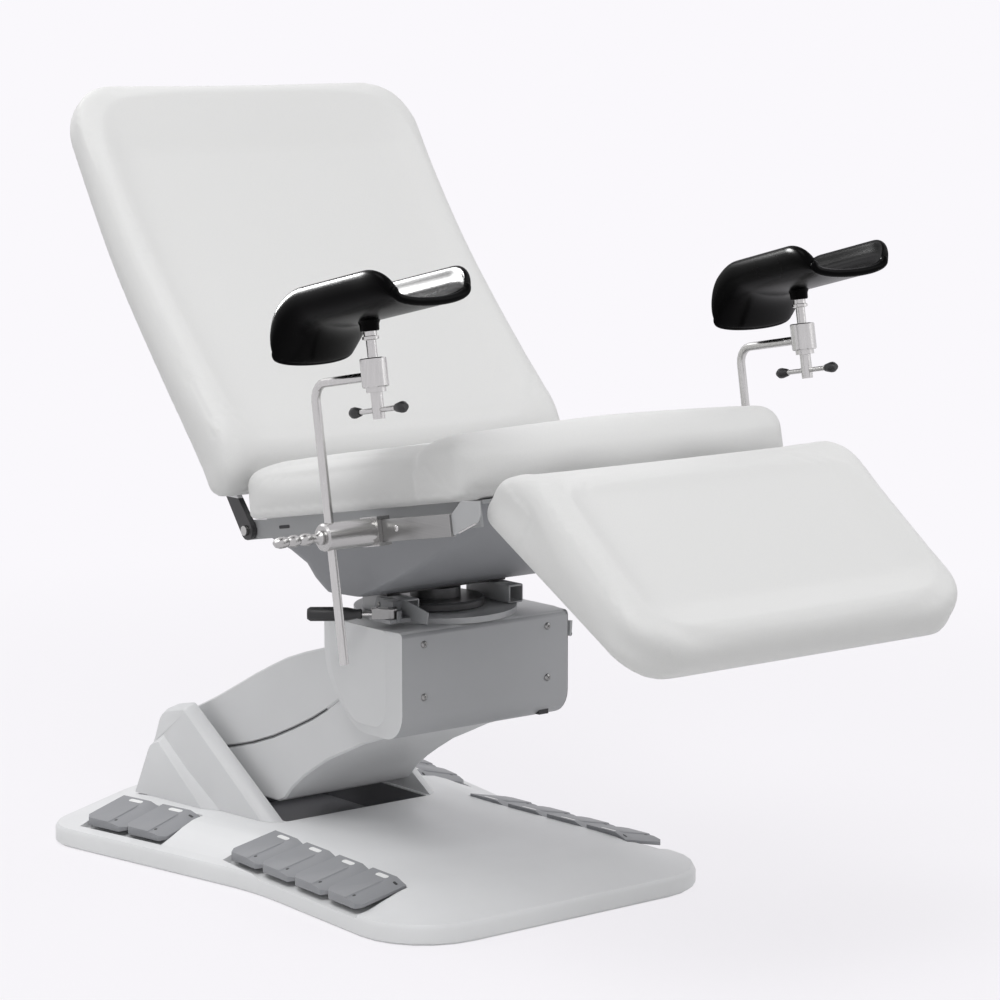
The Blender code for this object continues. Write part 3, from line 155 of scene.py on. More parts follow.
# shared surface effects
def grainGroup():
    # fine moulded or powder-coated grain: a height and a slow tone
    tree, given, out = newGroup("mouldedGrain", "ShaderNodeTree",
                                [("Vector", "NodeSocketVector", None), ("Fine", "NodeSocketFloat", 900.0),
                                 ("Slow", "NodeSocketFloat", 6.0)],
                                [("Height", "NodeSocketFloat"), ("Tone", "NodeSocketFloat")])
    cells = addNode(tree, "ShaderNodeTexVoronoi", {"Vector": given["Vector"], "Scale": given["Fine"]})
    dust = addNode(tree, "ShaderNodeTexNoise", {"Vector": given["Vector"], "Scale": given["Fine"], "Detail": 3.0})
    height = addNode(tree, "ShaderNodeMath", {0: cells.outputs["Distance"], 1: dust.outputs["Fac"]},
                     operation="MULTIPLY")
    slow = addNode(tree, "ShaderNodeTexNoise", {"Vector": given["Vector"], "Scale": given["Slow"], "Detail": 4.0})
    tree.links.new(height.outputs[0], out["Height"])
    tree.links.new(slow.outputs["Fac"], out["Tone"])
    return tree


def edgeGroup():
    # where a rounded look-up of the normal leaves the true one there is an edge
    tree, given, out = newGroup("edgeRub", "ShaderNodeTree",
                                [("Vector", "NodeSocketVector", None), ("Radius", "NodeSocketFloat", 0.003),
                                 ("Amount", "NodeSocketFloat", 0.6)], [("Mask", "NodeSocketFloat")])
    true = addNode(tree, "ShaderNodeNewGeometry")
    rounded = addNode(tree, "ShaderNodeBevel", {"Radius": given["Radius"]}, samples=4)
    along = addNode(tree, "ShaderNodeVectorMath", {0: true.outputs["Normal"], 1: rounded.outputs["Normal"]},
                    operation="DOT_PRODUCT")
    edge = addNode(tree, "ShaderNodeMapRange", {"Value": along.outputs["Value"], "From Min": 0.985, "From Max": 0.85})
    patch = addNode(tree, "ShaderNodeTexNoise", {"Vector": given["Vector"], "Scale": 90.0, "Detail": 5.0})
    broken = addNode(tree, "ShaderNodeMath", {0: edge.outputs[0], 1: patch.outputs["Fac"]}, operation="MULTIPLY")
    mask = addNode(tree, "ShaderNodeMath", {0: broken.outputs[0], 1: given["Amount"]}, operation="MULTIPLY",
                   use_clamp=True)
    tree.links.new(mask.outputs[0], out["Mask"])
    return tree


def brushGroup():
    # drawn lines along one axis, for bar and tube
    tree, given, out = newGroup("drawnLines", "ShaderNodeTree",
                                [("Vector", "NodeSocketVector", None),
                                 ("Stretch", "NodeSocketVector", (8.0, 900.0, 900.0))], [("Lines", "NodeSocketFloat")])
    pulled = addNode(tree, "ShaderNodeVectorMath", {0: given["Vector"], 1: given["Stretch"]}, operation="MULTIPLY")
    lines = addNode(tree, "ShaderNodeTexNoise", {"Vector": pulled.outputs[0], "Scale": 1.0, "Detail": 3.0,
                                                 "Roughness": 0.6})
    tree.links.new(lines.outputs["Fac"], out["Lines"])
    return tree


def innerGroup():
    # marks the faces that look towards a centre, such as the inside of a tube or shell, where painted shade goes
    tree, given, out = newGroup("innerFaces", "ShaderNodeTree",
                                [("Vector", "NodeSocketVector", None), ("Centre", "NodeSocketVector", (0.0, 0.0, 0.0)),
                                 ("Weight", "NodeSocketVector", (1.0, 1.0, 1.0))], [("Mask", "NodeSocketFloat")])
    away = addNode(tree, "ShaderNodeVectorMath", {0: given["Vector"], 1: given["Centre"]}, operation="SUBTRACT")
    part = addNode(tree, "ShaderNodeVectorMath", {0: away.outputs[0], 1: given["Weight"]}, operation="MULTIPLY")
    true = addNode(tree, "ShaderNodeNewGeometry")
    look = addNode(tree, "ShaderNodeVectorMath", {0: part.outputs[0], 1: true.outputs["Normal"]},
                   operation="DOT_PRODUCT")
    mask = addNode(tree, "ShaderNodeMath", {0: look.outputs["Value"], 1: 0.0}, operation="LESS_THAN")
    tree.links.new(mask.outputs[0], out["Mask"])
    return tree


def boxGroup():
    # marks what lies inside a box, such as an opening that gets painted shade
    tree, given, out = newGroup("boxInside", "ShaderNodeTree",
                                [("Vector", "NodeSocketVector", None), ("Centre", "NodeSocketVector", (0.0, 0.0, 0.0)),
                                 ("Half", "NodeSocketVector", (1.0, 1.0, 1.0))], [("Mask", "NodeSocketFloat")])
    away = addNode(tree, "ShaderNodeVectorMath", {0: given["Vector"], 1: given["Centre"]}, operation="SUBTRACT")
    whole = addNode(tree, "ShaderNodeVectorMath", {0: away.outputs[0]}, operation="ABSOLUTE")
    past = addNode(tree, "ShaderNodeVectorMath", {0: whole.outputs[0], 1: given["Half"]}, operation="SUBTRACT")
    parts = addNode(tree, "ShaderNodeSeparateXYZ", {0: past.outputs[0]})
    first = addNode(tree, "ShaderNodeMath", {0: parts.outputs[0], 1: parts.outputs[1]}, operation="MAXIMUM")
    most = addNode(tree, "ShaderNodeMath", {0: first.outputs[0], 1: parts.outputs[2]}, operation="MAXIMUM")
    mask = addNode(tree, "ShaderNodeMath", {0: most.outputs[0], 1: 0.0}, operation="LESS_THAN")
    tree.links.new(mask.outputs[0], out["Mask"])
    return tree


grain, edgeRub, drawnLines, innerFaces = grainGroup(), edgeGroup(), brushGroup(), innerGroup()
boxInside = boxGroup()


def startMaterial(name):
    made = bpy.data.materials.new(name)
    made.use_nodes = True
    tree = made.node_tree
    shader = tree.nodes["Principled BSDF"]
    place = addNode(tree, "ShaderNodeTexCoord").outputs["Object"]
    return made, tree, shader, place


def fillGroup(tree, group, inputs):
    return addNode(tree, "ShaderNodeGroup", inputs, node_tree=group)


def blendColour(tree, factor, low, high):
    mix = addNode(tree, "ShaderNodeMix", data_type="RGBA")
    tree.links.new(factor, mix.inputs[0])
    for socket, colour in ((mix.inputs[6], low), (mix.inputs[7], high)):
        if isinstance(colour, bpy.types.NodeSocket):
            tree.links.new(colour, socket)
        else:
            socket.default_value = (*colour, 1.0)
    return mix.outputs[2]


def spread(tree, value, low, high, fromLow=0.25, fromHigh=0.75):
    return addNode(tree, "ShaderNodeMapRange", {"Value": value, "From Min": fromLow, "From Max": fromHigh,
                                                "To Min": low, "To Max": high}).outputs[0]


def bumpFrom(tree, shader, height, strength, distance):
    bump = addNode(tree, "ShaderNodeBump", {"Height": height, "Strength": strength, "Distance": distance})
    tree.links.new(bump.outputs[0], shader.inputs["Normal"])


def moulded(name, tone, worn, rough, fine=900.0, depth=0.00012, slow=5.0, drift=0.04, rub=0.5, level=0.5,
            inner=None, box=None):
    # painted or moulded surface: slow drift of tone, rubbed edges, fine grain, and optional painted shade inside a
    # hollow or a box
    made, tree, shader, place = startMaterial(name)
    skin = fillGroup(tree, grain, {"Vector": place, "Fine": fine, "Slow": slow})
    dark = [c * (1.0 - drift) for c in tone]
    light = [min(1.0, c * (1.0 + drift)) for c in tone]
    body = blendColour(tree, spread(tree, skin.outputs["Tone"], 0.0, 1.0), dark, light)
    edge = fillGroup(tree, edgeRub, {"Vector": place, "Radius": 0.0025, "Amount": rub})
    body = blendColour(tree, edge.outputs["Mask"], body, worn)
    # painted shade: faces that look into the hollow take the inner colour
    if inner:
        hollow = fillGroup(tree, innerFaces, {"Vector": place, "Centre": inner[0], "Weight": inner[1]})
        body = blendColour(tree, hollow.outputs["Mask"], body, inner[2])
    # painted shade: whatever lies inside the box takes the box colour
    if box:
        inside = fillGroup(tree, boxInside, {"Vector": place, "Centre": box[0], "Half": box[1]})
        body = blendColour(tree, inside.outputs["Mask"], body, box[2])
    tree.links.new(body, shader.inputs["Base Color"])
    tree.links.new(spread(tree, skin.outputs["Tone"], rough - 0.04, rough + 0.05), shader.inputs["Roughness"])
    shader.inputs["Specular IOR Level"].default_value = level
    bumpFrom(tree, shader, skin.outputs["Height"], 0.35, depth)
    return made


def drawnMetal(name, tone, rough, stretch):
    made, tree, shader, place = startMaterial(name)
    lines = fillGroup(tree, drawnLines, {"Vector": place, "Stretch": stretch})
    dark = [c * 0.92 for c in tone]
    body = blendColour(tree, spread(tree, lines.outputs["Lines"], 0.0, 1.0, 0.3, 0.7), dark, tone)
    edge = fillGroup(tree, edgeRub, {"Vector": place, "Radius": 0.0012, "Amount": 0.6})
    tree.links.new(blendColour(tree, edge.outputs["Mask"], body, (0.86, 0.85, 0.83)), shader.inputs["Base Color"])
    tree.links.new(spread(tree, lines.outputs["Lines"], rough - 0.03, rough + 0.05), shader.inputs["Roughness"])
    shader.inputs["Metallic"].default_value = 1.0
    bumpFrom(tree, shader, lines.outputs["Lines"], 0.05, 0.00006)
    return made


hide = {"tone": (0.695, 0.695, 0.692), "deep": (0.655, 0.655, 0.652), "rough": 0.46, "cell": 820.0}


def hideMaterial():
    # soft coated upholstery with a fine leather cell and a slow tone
    made, tree, shader, place = startMaterial("paleHide")
    cells = addNode(tree, "ShaderNodeTexVoronoi", {"Vector": place, "Scale": hide["cell"]}, feature="DISTANCE_TO_EDGE")
    crease = addNode(tree, "ShaderNodeMapRange", {"Value": cells.outputs["Distance"], "From Min": 0.0,
                                                  "From Max": 0.16})
    skin = fillGroup(tree, grain, {"Vector": place, "Fine": 420.0, "Slow": 3.5})
    lines = blendColour(tree, crease.outputs[0], hide["deep"], hide["tone"])
    drift = spread(tree, skin.outputs["Tone"], 0.0, 0.35)
    tree.links.new(blendColour(tree, drift, lines, hide["deep"]), shader.inputs["Base Color"])
    tree.links.new(spread(tree, crease.outputs[0], hide["rough"] + 0.1, hide["rough"], 0.0, 1.0),
                   shader.inputs["Roughness"])
    shader.inputs["Specular IOR Level"].default_value = 0.38
    shader.inputs["Sheen Weight"].default_value = 0.06
    shader.inputs["Sheen Roughness"].default_value = 0.4
    bumpFrom(tree, shader, crease.outputs[0], 0.22, 0.00015)
    return made


paleHide = hideMaterial()
coverPaint = moulded("coverPaint", (0.665, 0.67, 0.68), (0.76, 0.76, 0.77), 0.42)
# painted shade: inside the well of the base (the box below) the base paint turns dark grey
basePaint = moulded("basePaint", (0.74, 0.745, 0.755), (0.80, 0.80, 0.81), 0.42,
                    box=((-0.1725, 0.0, 0.03), (0.158, 0.1505, 0.0365), (0.20, 0.20, 0.215)))
# painted shade: a near-black band across the back panel's lower end, where it meets the seat
backPaint = moulded("backPaint", (0.665, 0.67, 0.68), (0.76, 0.76, 0.77), 0.42,
                    box=((0.08, 0.0, 0.585), (0.07, 0.5, 0.06), (0.03, 0.03, 0.032)))
hubPlastic = moulded("hubPlastic", (0.085, 0.085, 0.088), (0.10, 0.10, 0.10), 0.34, fine=600.0, depth=0.0001)
# the front cover's grey is partly its own darker paint and partly painted shade from the leg rest above it
frontPaintAndShade = moulded("frontPaintAndShade", (0.40, 0.405, 0.42), (0.52, 0.52, 0.53), 0.44)
# painted shade: the hull's faces that look into its hollow are turned near black
hullPlastic = moulded("hullPlastic", (0.235, 0.24, 0.255), (0.36, 0.36, 0.37), 0.48,
                      inner=((0.30, 0.0, 0.66), (1.0, 1.0, 1.0), (0.02, 0.02, 0.022)))
pedalPlastic = moulded("pedalPlastic", (0.255, 0.26, 0.275), (0.42, 0.42, 0.44), 0.46, fine=700.0, depth=0.0002)
framePaint = moulded("framePaint", (0.27, 0.275, 0.285), (0.42, 0.42, 0.43), 0.45)
flangePaint = moulded("flangePaint", (0.34, 0.345, 0.355), (0.48, 0.48, 0.49), 0.45)
ringPaint = moulded("ringPaint", (0.42, 0.425, 0.435), (0.60, 0.60, 0.61), 0.40)
blackSkin = moulded("blackSkin", (0.0010, 0.0010, 0.0011), (0.003, 0.003, 0.003), 0.25, fine=1100.0, depth=0.00005,
                    rub=0.2, level=0.035)
blackPlastic = moulded("blackPlastic", (0.016, 0.016, 0.017), (0.05, 0.05, 0.05), 0.42, fine=600.0, depth=0.00015)
whitePatch = moulded("whitePatch", (0.84, 0.84, 0.84), (0.88, 0.88, 0.88), 0.4, drift=0.02, rub=0.2)
# painted shade: this near-black stands in for the shade in holes, slots and the arm seam; it also colours the dark
# clip under the cover and the pin on the far shield
holeShadeAndDarkParts = moulded("holeShadeAndDarkParts", (0.03, 0.03, 0.033), (0.05, 0.05, 0.05), 0.6)
drawnSteel = drawnMetal("drawnSteel", (0.58, 0.575, 0.565), 0.24, (240.0, 240.0, 3.0))
crossSteel = drawnMetal("crossSteel", (0.47, 0.466, 0.458), 0.24, (240.0, 3.0, 240.0))
flatSteel = drawnMetal("flatSteel", (0.31, 0.31, 0.305), 0.30, (3.0, 400.0, 400.0))
print("finishes made:", len(bpy.data.materials))


# solids that stay: welded and shaded by one tree
def easedTree():
    tree, given, out = newGroup("easedSolid", "GeometryNodeTree",
                                [("Geometry", "NodeSocketGeometry", None), ("Weld", "NodeSocketFloat", 0.00001),
                                 ("Sharp Angle", "NodeSocketFloat", radians(30.0))],
                                [("Geometry", "NodeSocketGeometry")])
    bare = addNode(tree, "GeometryNodeRemoveAttribute", {"Geometry": given["Geometry"], "Name": "custom_normal"})
    weld = addNode(tree, "GeometryNodeMergeByDistance", {"Geometry": bare.outputs[0], "Distance": given["Weld"]})
    smooth = addNode(tree, "GeometryNodeSetShadeSmooth", {"Geometry": weld.outputs[0]}, domain="FACE")
    angle = addNode(tree, "GeometryNodeInputMeshEdgeAngle")
    keep = addNode(tree, "FunctionNodeCompare", {0: angle.outputs["Unsigned Angle"], 1: given["Sharp Angle"]},
                   data_type="FLOAT", operation="LESS_THAN")
    edges = addNode(tree, "GeometryNodeSetShadeSmooth", {"Geometry": smooth.outputs[0],
                                                         "Shade Smooth": keep.outputs[0]}, domain="EDGE")
    tree.links.new(edges.outputs[0], out["Geometry"])
    return tree


easedSolid = easedTree()


def easeNode(node, finish, angle=30.0):
    solid = nodes[node]
    solid.data.materials.clear()
    solid.data.materials.append(finish)
    step = solid.modifiers.new("easedSolid", "NODES")
    step.node_group = easedSolid
    step[inputId(easedSolid, "Sharp Angle")] = radians(angle)


solidFinishes = {
    "base_plate": basePaint, "cheek_": coverPaint, "arm_": coverPaint, "head_housing": coverPaint,
    "head_front_cover": frontPaintAndShade, "turntable_ring": ringPaint, "swivel_hub": hubPlastic,
    "carrier_tube": ringPaint, "swivel_carrier": blackPlastic, "brake_bracket": framePaint, "brake_lever": flatSteel,
    "brake_grip": blackPlastic, "seat_frame": flangePaint, "seat_hull": hullPlastic, "side_rail": flatSteel,
    "back_panel": backPaint, "leg_panel": coverPaint, "rail_clamp": crossSteel, "clamp_knob": crossSteel,
    "support_rod": drawnSteel, "tee_handle": drawnSteel, "tee_grip": blackPlastic, "shell_stud": drawnSteel,
    "knee_shell": blackSkin, "pedal_": pedalPlastic, "hinge_pin": crossSteel, "_shaft": crossSteel,
    "_cushion": paleHide,
}
for name in nodes:
    easeNode(name, next(finish for part, finish in solidFinishes.items() if part in name), 32.0)
print("solids dressed")


# mesh helpers for the new pieces
seatFrame = Matrix.Translation((0.300, 0.0, 0.555)) @ Matrix.Rotation(radians(-9.7), 4, "Y")
backFrame = Matrix.Translation((0.09022, 0.0, 0.59523)) @ Matrix.Rotation(radians(-42.0), 4, "Y")
legFrame = Matrix.Translation((0.78602, 0.0, 0.70594)) @ Matrix.Rotation(radians(32.8), 4, "Y")


def addPiece(name, mesh, body, finish, stands=(), sharp=35.0):
    data = mesh
    if isinstance(mesh, bmesh.types.BMesh):
        bmesh.ops.recalc_face_normals(mesh, faces=mesh.faces)
        data = bpy.data.meshes.new(name)
        mesh.to_mesh(data)
        mesh.free()
    data.materials.clear()
    data.materials.append(finish)
    data.shade_smooth()
    data.set_sharp_from_angle(angle=radians(sharp))
    piece = bpy.data.objects.new(name, data)
    scene.collection.objects.link(piece)
    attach(piece, body)
    if stands:
        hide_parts(*stands)
    return piece


def cutCorners(points, times):
    # closed outline, its corners cut twice or thrice into a smooth curve
    points = [Vector(point) for point in points]
    for _ in range(times):
        pairs = zip(points, points[1:] + points[:1])
        points = [a.lerp(b, share) for a, b in pairs for share in (0.25, 0.75)]
    return points


def loftMesh(rings, place, mesh=None):
    mesh = mesh or bmesh.new()
    layers = [[mesh.verts.new(place @ Vector(point)) for point in ring] for ring in rings]
    for low, high in zip(layers, layers[1:]):
        for i in range(len(low)):
            mesh.faces.new((low[i - 1], low[i], high[i], high[i - 1]))
    mesh.faces.new(layers[0])
    mesh.faces.new(list(reversed(layers[-1])))
    return mesh


def roundIn(distance, radius):
    if distance >= radius:
        return 0.0
    return radius - sqrt(max(radius * radius - (radius - distance) ** 2, 0.0))


def bakeMesh(piece):
    # what the modifiers make, as a plain mesh
    bpy.context.view_layer.update()
    made = bpy.data.meshes.new_from_object(piece.evaluated_get(bpy.context.evaluated_depsgraph_get()))
    piece.modifiers.clear()
    piece.data = made


# cushions: smooth lofts over the solids' lines, remeshed, filled by cloth pressure and held at their undersides
seatPad = {"rear": -0.155, "front": 0.43, "half": 0.33, "under": 0.091, "thick": 0.083, "roll": 0.016,
           "rollLength": 0.135, "foot": 0.010, "draw": 0.002, "edge": 0.024, "rimWidth": 0.06,
           "hollow": -0.006, "creaseAt": 0.302}
backPad = {"start": 0.040, "end": 0.832, "half": 0.36, "corner": 0.105, "rear": 0.018, "rearRise": 0.030,
           "front": 0.124, "frontRise": -0.040, "bendAt": 0.500, "bend": 0.190, "rim": 0.020,
           "foot": 0.024, "draw": 0.004, "edge": 0.026, "rimWidth": 0.085, "hollow": 0.002}
legPad = {"start": -0.047, "end": 0.366, "half": 0.33, "corner": 0.085, "low": -0.043, "lowRise": 0.06, "top": 0.089,
          "topRise": -0.09, "rim": 0.024, "foot": 0.022, "draw": 0.004, "edge": 0.026, "rimWidth": 0.085,
          "hollow": 0.001, "notchAt": 0.12, "notchHalf": 0.030, "notchDeep": 0.040, "notchTop": 0.030}
padding = {"voxel": 0.006, "shrink": 0.002, "cap": 0.005, "pressure": 4.0, "frames": 12, "even": 4}


def padSection(pad, half, low, high, rim):
    # one half from the middle of the underside round to the middle of the top, then mirrored
    deep, draw, edge, wide = high - low, pad["draw"], pad["edge"], pad["rimWidth"]
    foot = min(pad["foot"], 0.24 * deep)
    flank = [(half * 0.5, low), (half - 0.07, low), (half - 1.7 * foot, low), (half - 0.4 * foot, low + 0.25 * foot),
             (half, low + 1.3 * foot), (half - draw, low + 0.52 * deep), (half - 0.3 * draw, low + 0.74 * deep),
             (half - 0.28 * edge, high - 0.10 * deep), (half - edge, high),
             (half - edge - 0.25 * wide, high - 0.2 * rim), (half - edge - 0.58 * wide, high - 0.75 * rim),
             (half - edge - wide, high - rim),
             (half * 0.45, high - rim - 0.4 * pad["hollow"])]
    other = [(-y, m) for y, m in reversed(flank)]
    return [(0.0, low)] + flank + [(0.0, high - rim - pad["hollow"])] + other


def seatRings(pad):
    length = pad["front"] - pad["rear"]
    rings = []
    for i in range(97):
        share = 0.5 - 0.5 * cos(pi * i / 96)
        along = pad["rear"] + length * share
        end, nose = along - pad["rear"], pad["front"] - along
        over = max(0.0, 1.0 - nose / pad["rollLength"])
        swell = pad["roll"] * sin(pi * min(1.0, over * 1.25) / 2.0)
        crease = exp(-((along - pad["creaseAt"]) / 0.007) ** 2)
        half = pad["half"] - roundIn(end, 0.022) - roundIn(nose, 0.03) + 0.007 * sin(pi * over) - 0.004 * crease
        low = pad["under"] + roundIn(end, 0.008) + roundIn(nose, 0.035)
        high = pad["under"] + pad["thick"] + swell - roundIn(end, 0.028) - roundIn(nose, 0.046)
        high += 0.004 * sin(pi * end / length) - 0.003 * crease
        section = cutCorners(padSection(pad, half, low, high, 0.002), 3)
        rings.append([(along, point.x, point.y) for point in section])
    return rings


def backRings(pad):
    rings = []
    for i in range(121):
        share = 0.5 - 0.5 * cos(pi * i / 120)
        along = pad["start"] + (pad["end"] - pad["start"]) * share
        past = along - pad["bendAt"]
        turn = 0.5 * (past + sqrt(past * past + 0.0144)) * pad["bend"]
        rear = pad["rear"] + pad["rearRise"] * along + turn
        front = pad["front"] + pad["frontRise"] * along + turn
        foot, top, deep = along - pad["start"], pad["end"] - along, front - rear
        half = pad["half"] - roundIn(top, pad["corner"]) - roundIn(foot, 0.03)
        low = rear + 0.0005 + 0.35 * deep * roundIn(top, 0.03) / 0.03 + roundIn(foot, 0.03)
        high = front - 0.55 * deep * roundIn(top, 0.045) / 0.045 - 0.75 * roundIn(foot, 0.10)
        rim = pad["rim"] * min(1.0, max(0.0, (top - 0.02) / 0.12)) * min(1.0, 0.35 + foot / 0.12)
        section = cutCorners(padSection(pad, half, low, high, rim), 3)
        rings.append([(point.y, point.x, along) for point in section])
    return rings


def legRings(pad):
    rings = []
    for i in range(97):
        share = 0.5 - 0.5 * cos(pi * i / 96)
        along = pad["start"] + (pad["end"] - pad["start"]) * share
        head, foot = along - pad["start"], pad["end"] - along
        half = pad["half"] - roundIn(foot, pad["corner"]) - roundIn(head, 0.03)
        low = pad["low"] + pad["lowRise"] * along + 0.0005 + roundIn(head, 0.022) + 1.2 * roundIn(foot, 0.032)
        high = pad["top"] + pad["topRise"] * along - 0.85 * roundIn(head, 0.105) - 0.8 * roundIn(foot, 0.045)
        rim = pad["rim"] * min(1.0, max(0.0, (foot - 0.025) / 0.07)) * min(1.0, max(0.15, (head - 0.01) / 0.09))
        section = cutCorners(padSection(pad, half, low, high, rim), 3)
        rings.append([(along, point.x, point.y) for point in section])
    return rings


def cutNotches(piece, pad):
    # room for the two hinge arms at the leg cushion's upper end
    mesh = bmesh.new()
    for side in (-1, 1):
        y = side * pad["notchAt"]
        low = (pad["start"] - 0.05, y - pad["notchHalf"] - 0.002, -0.2)
        high = (pad["notchDeep"] + 0.002, y + pad["notchHalf"] + 0.002, pad["notchTop"] + 0.002)
        ring = [(low[0], low[1]), (high[0], low[1]), (high[0], high[1]), (low[0], high[1])]
        loftMesh([[(x, y, z) for x, y in ring] for z in (low[2], high[2])], legFrame, mesh)
    bmesh.ops.recalc_face_normals(mesh, faces=mesh.faces)
    data = bpy.data.meshes.new("notchTool")
    mesh.to_mesh(data)
    mesh.free()
    tool = bpy.data.objects.new("notchTool", data)
    scene.collection.objects.link(tool)
    cut = piece.modifiers.new("notches", "BOOLEAN")
    cut.operation = "DIFFERENCE"
    cut.object = tool
    bakeMesh(piece)
    bpy.data.objects.remove(tool, do_unlink=True)
    bpy.data.meshes.remove(data)


def fillPad(piece, holds):
    # start a little small, let pressure fill it, then cap how far any point has moved
    start = [vertex.co.copy() for vertex in piece.data.vertices]
    normals = [vertex.normal.copy() for vertex in piece.data.vertices]
    pinned = [i for i, point in enumerate(start) if holds(point)]
    piece.vertex_groups.new(name="held").add(pinned, 1.0, "REPLACE")
    free = set(range(len(start))).difference(pinned)
    for i in free:
        piece.data.vertices[i].co = start[i] - normals[i] * padding["shrink"]
    cloth = piece.modifiers.new("filling", "CLOTH")
    wish = cloth.settings
    wish.quality = 2
    wish.mass = 0.3
    wish.tension_stiffness = wish.compression_stiffness = 15.0
    wish.shear_stiffness = 5.0
    wish.bending_stiffness = 0.5
    wish.use_pressure = True
    wish.uniform_pressure_force = padding["pressure"]
    wish.vertex_group_mass = "held"
    wish.effector_weights.gravity = 0.0
    cloth.collision_settings.use_collision = False
    cloth.point_cache.frame_start = 1
    cloth.point_cache.frame_end = padding["frames"]
    for step in range(1, padding["frames"] + 1):
        scene.frame_set(step)
    bakeMesh(piece)
    for vertex, origin in zip(piece.data.vertices, start):
        move = vertex.co - origin
        if move.length > padding["cap"]:
            vertex.co = origin + move * (padding["cap"] / move.length)
    scene.frame_set(1)


def makeCushion(name, node, body, mesh, place, pad, heightOf, underOf):
    piece = addPiece(name, mesh, body, paleHide, (node,), 180.0)
    if pad is legPad:
        cutNotches(piece, pad)
    voxels = piece.modifiers.new("voxels", "REMESH")
    voxels.mode = "VOXEL"
    voxels.voxel_size = padding["voxel"]
    voxels.use_smooth_shade = True
    even = piece.modifiers.new("even", "SMOOTH")
    even.factor = 0.5
    even.iterations = padding["even"]
    bakeMesh(piece)
    back = place.inverted()

    def holds(point):
        local = back @ point
        lift = heightOf(local) - underOf(local)
        inNotch = pad is legPad and local.x < pad["notchDeep"] + 0.012 and local.z < pad["notchTop"] + 0.012
        return lift < 0.012 or inNotch

    fillPad(piece, holds)
    piece.data.materials.clear()
    piece.data.materials.append(paleHide)
    piece.data.shade_smooth()
    finer = piece.modifiers.new("finer", "SUBSURF")
    finer.levels = finer.render_levels = 1
    return piece


def makeCushions():
    makeCushion("seatUpholstery", "seat_cushion", "seat", loftMesh(seatRings(seatPad), seatFrame), seatFrame, seatPad,
                lambda p: p.z, lambda p: seatPad["under"])
    makeCushion("backUpholstery", "back_cushion", "back", loftMesh(backRings(backPad), backFrame), backFrame, backPad,
                lambda p: p.x, lambda p: backPad["rear"] + backPad["rearRise"] * p.z
                + 0.5 * (p.z - backPad["bendAt"] + sqrt((p.z - backPad["bendAt"]) ** 2 + 0.0144)) * backPad["bend"])
    makeCushion("legUpholstery", "leg_cushion", "leg_rest", loftMesh(legRings(legPad), legFrame), legFrame, legPad,
                lambda p: p.z, lambda p: legPad["low"] + legPad["lowRise"] * p.x)


makeCushions()
print("cushions filled")


# knee shells: troughs with a thick rolled rim, turned a little inwards, each on its boss
shell = {"turn": 6.0, "half": 0.094, "rear": 0.2495, "front": 0.5120, "bottom": 0.366, "depth": 0.056, "wall": 0.013,
         "drop": 0.049, "rise": 0.060, "socket": 0.3755, "seat": 0.3515, "rodY": 0.431, "power": 0.66, "boss": 0.013}


def shellSection(along, thin):
    # outer skin, round rim and inner skin; thin draws the skin together at the two ends
    fall = max(0.0, shell["rear"] + 0.085 - along) / 0.085
    floor = shell["bottom"] + shell["rise"] * (along - shell["socket"]) - shell["drop"] * fall ** 2
    rear = roundIn(max(0.0, along - shell["rear"]), 0.035)
    front = roundIn(max(0.0, shell["front"] - along), 0.040)
    half = shell["half"] - 0.35 * rear - 0.40 * front
    wall = shell["depth"] - 0.95 * rear - 0.75 * front
    floor += 0.25 * rear
    thick = shell["wall"]
    tuck = 0.5 * thick * (1.0 - thin)
    angles = [radians(-90.0 + 10.0 * i) for i in range(19)]
    outer = [((half - tuck) * sin(a), floor + tuck + (wall - tuck) * (1.0 - cos(a) ** shell["power"])) for a in angles]
    inside, lift = half - thick + tuck, wall - 0.75 * thick
    inner = [(inside * sin(a), floor + thick - tuck + lift * (1.0 - cos(a) ** shell["power"]))
             for a in reversed(angles)]
    top = floor + wall + 0.42 * thick - tuck
    return outer + [(half - 0.5 * thick, top)] + inner + [(-half + 0.5 * thick, top)]


def makeShell(word, side):
    place = seatFrame @ Matrix.Translation((shell["socket"], side * shell["rodY"], 0.0))
    place = place @ Matrix.Rotation(radians(-side * shell["turn"]), 4, "Z")
    stations = [shell["rear"] + (shell["front"] - shell["rear"]) * (0.5 - 0.5 * cos(pi * i / 60)) for i in range(61)]
    cap = [radians(15.0 * i) for i in range(1, 6)]
    reach = 0.5 * shell["wall"]
    levels = [(shell["rear"] - reach * sin(a), cos(a)) for a in reversed(cap)]
    levels += [(along, 1.0) for along in stations]
    levels += [(shell["front"] + reach * sin(a), cos(a)) for a in cap]
    rings = []
    for along, thin in levels:
        section = cutCorners(shellSection(along, thin), 2)
        rings.append([(along - shell["socket"], point.x, point.y) for point in section])
    mesh = loftMesh(rings, place)
    profile = [(shell["boss"], 0.0004), (shell["boss"] + 0.0012, 0.002), (shell["boss"] + 0.0016, 0.010),
               (shell["boss"] + 0.004, 0.016), (shell["boss"] + 0.012, 0.0205)]
    loftMesh([[(r * cos(a), r * sin(a), shell["seat"] + h) for a in [2 * pi * k / 48 for k in range(48)]]
              for r, h in profile], place, mesh)
    addPiece(f"kneeTrough_{word}", mesh, f"knee_{word}", blackSkin, (f"knee_shell_{word}",), 40.0)


for word, side in sides:
    makeShell(word, side)

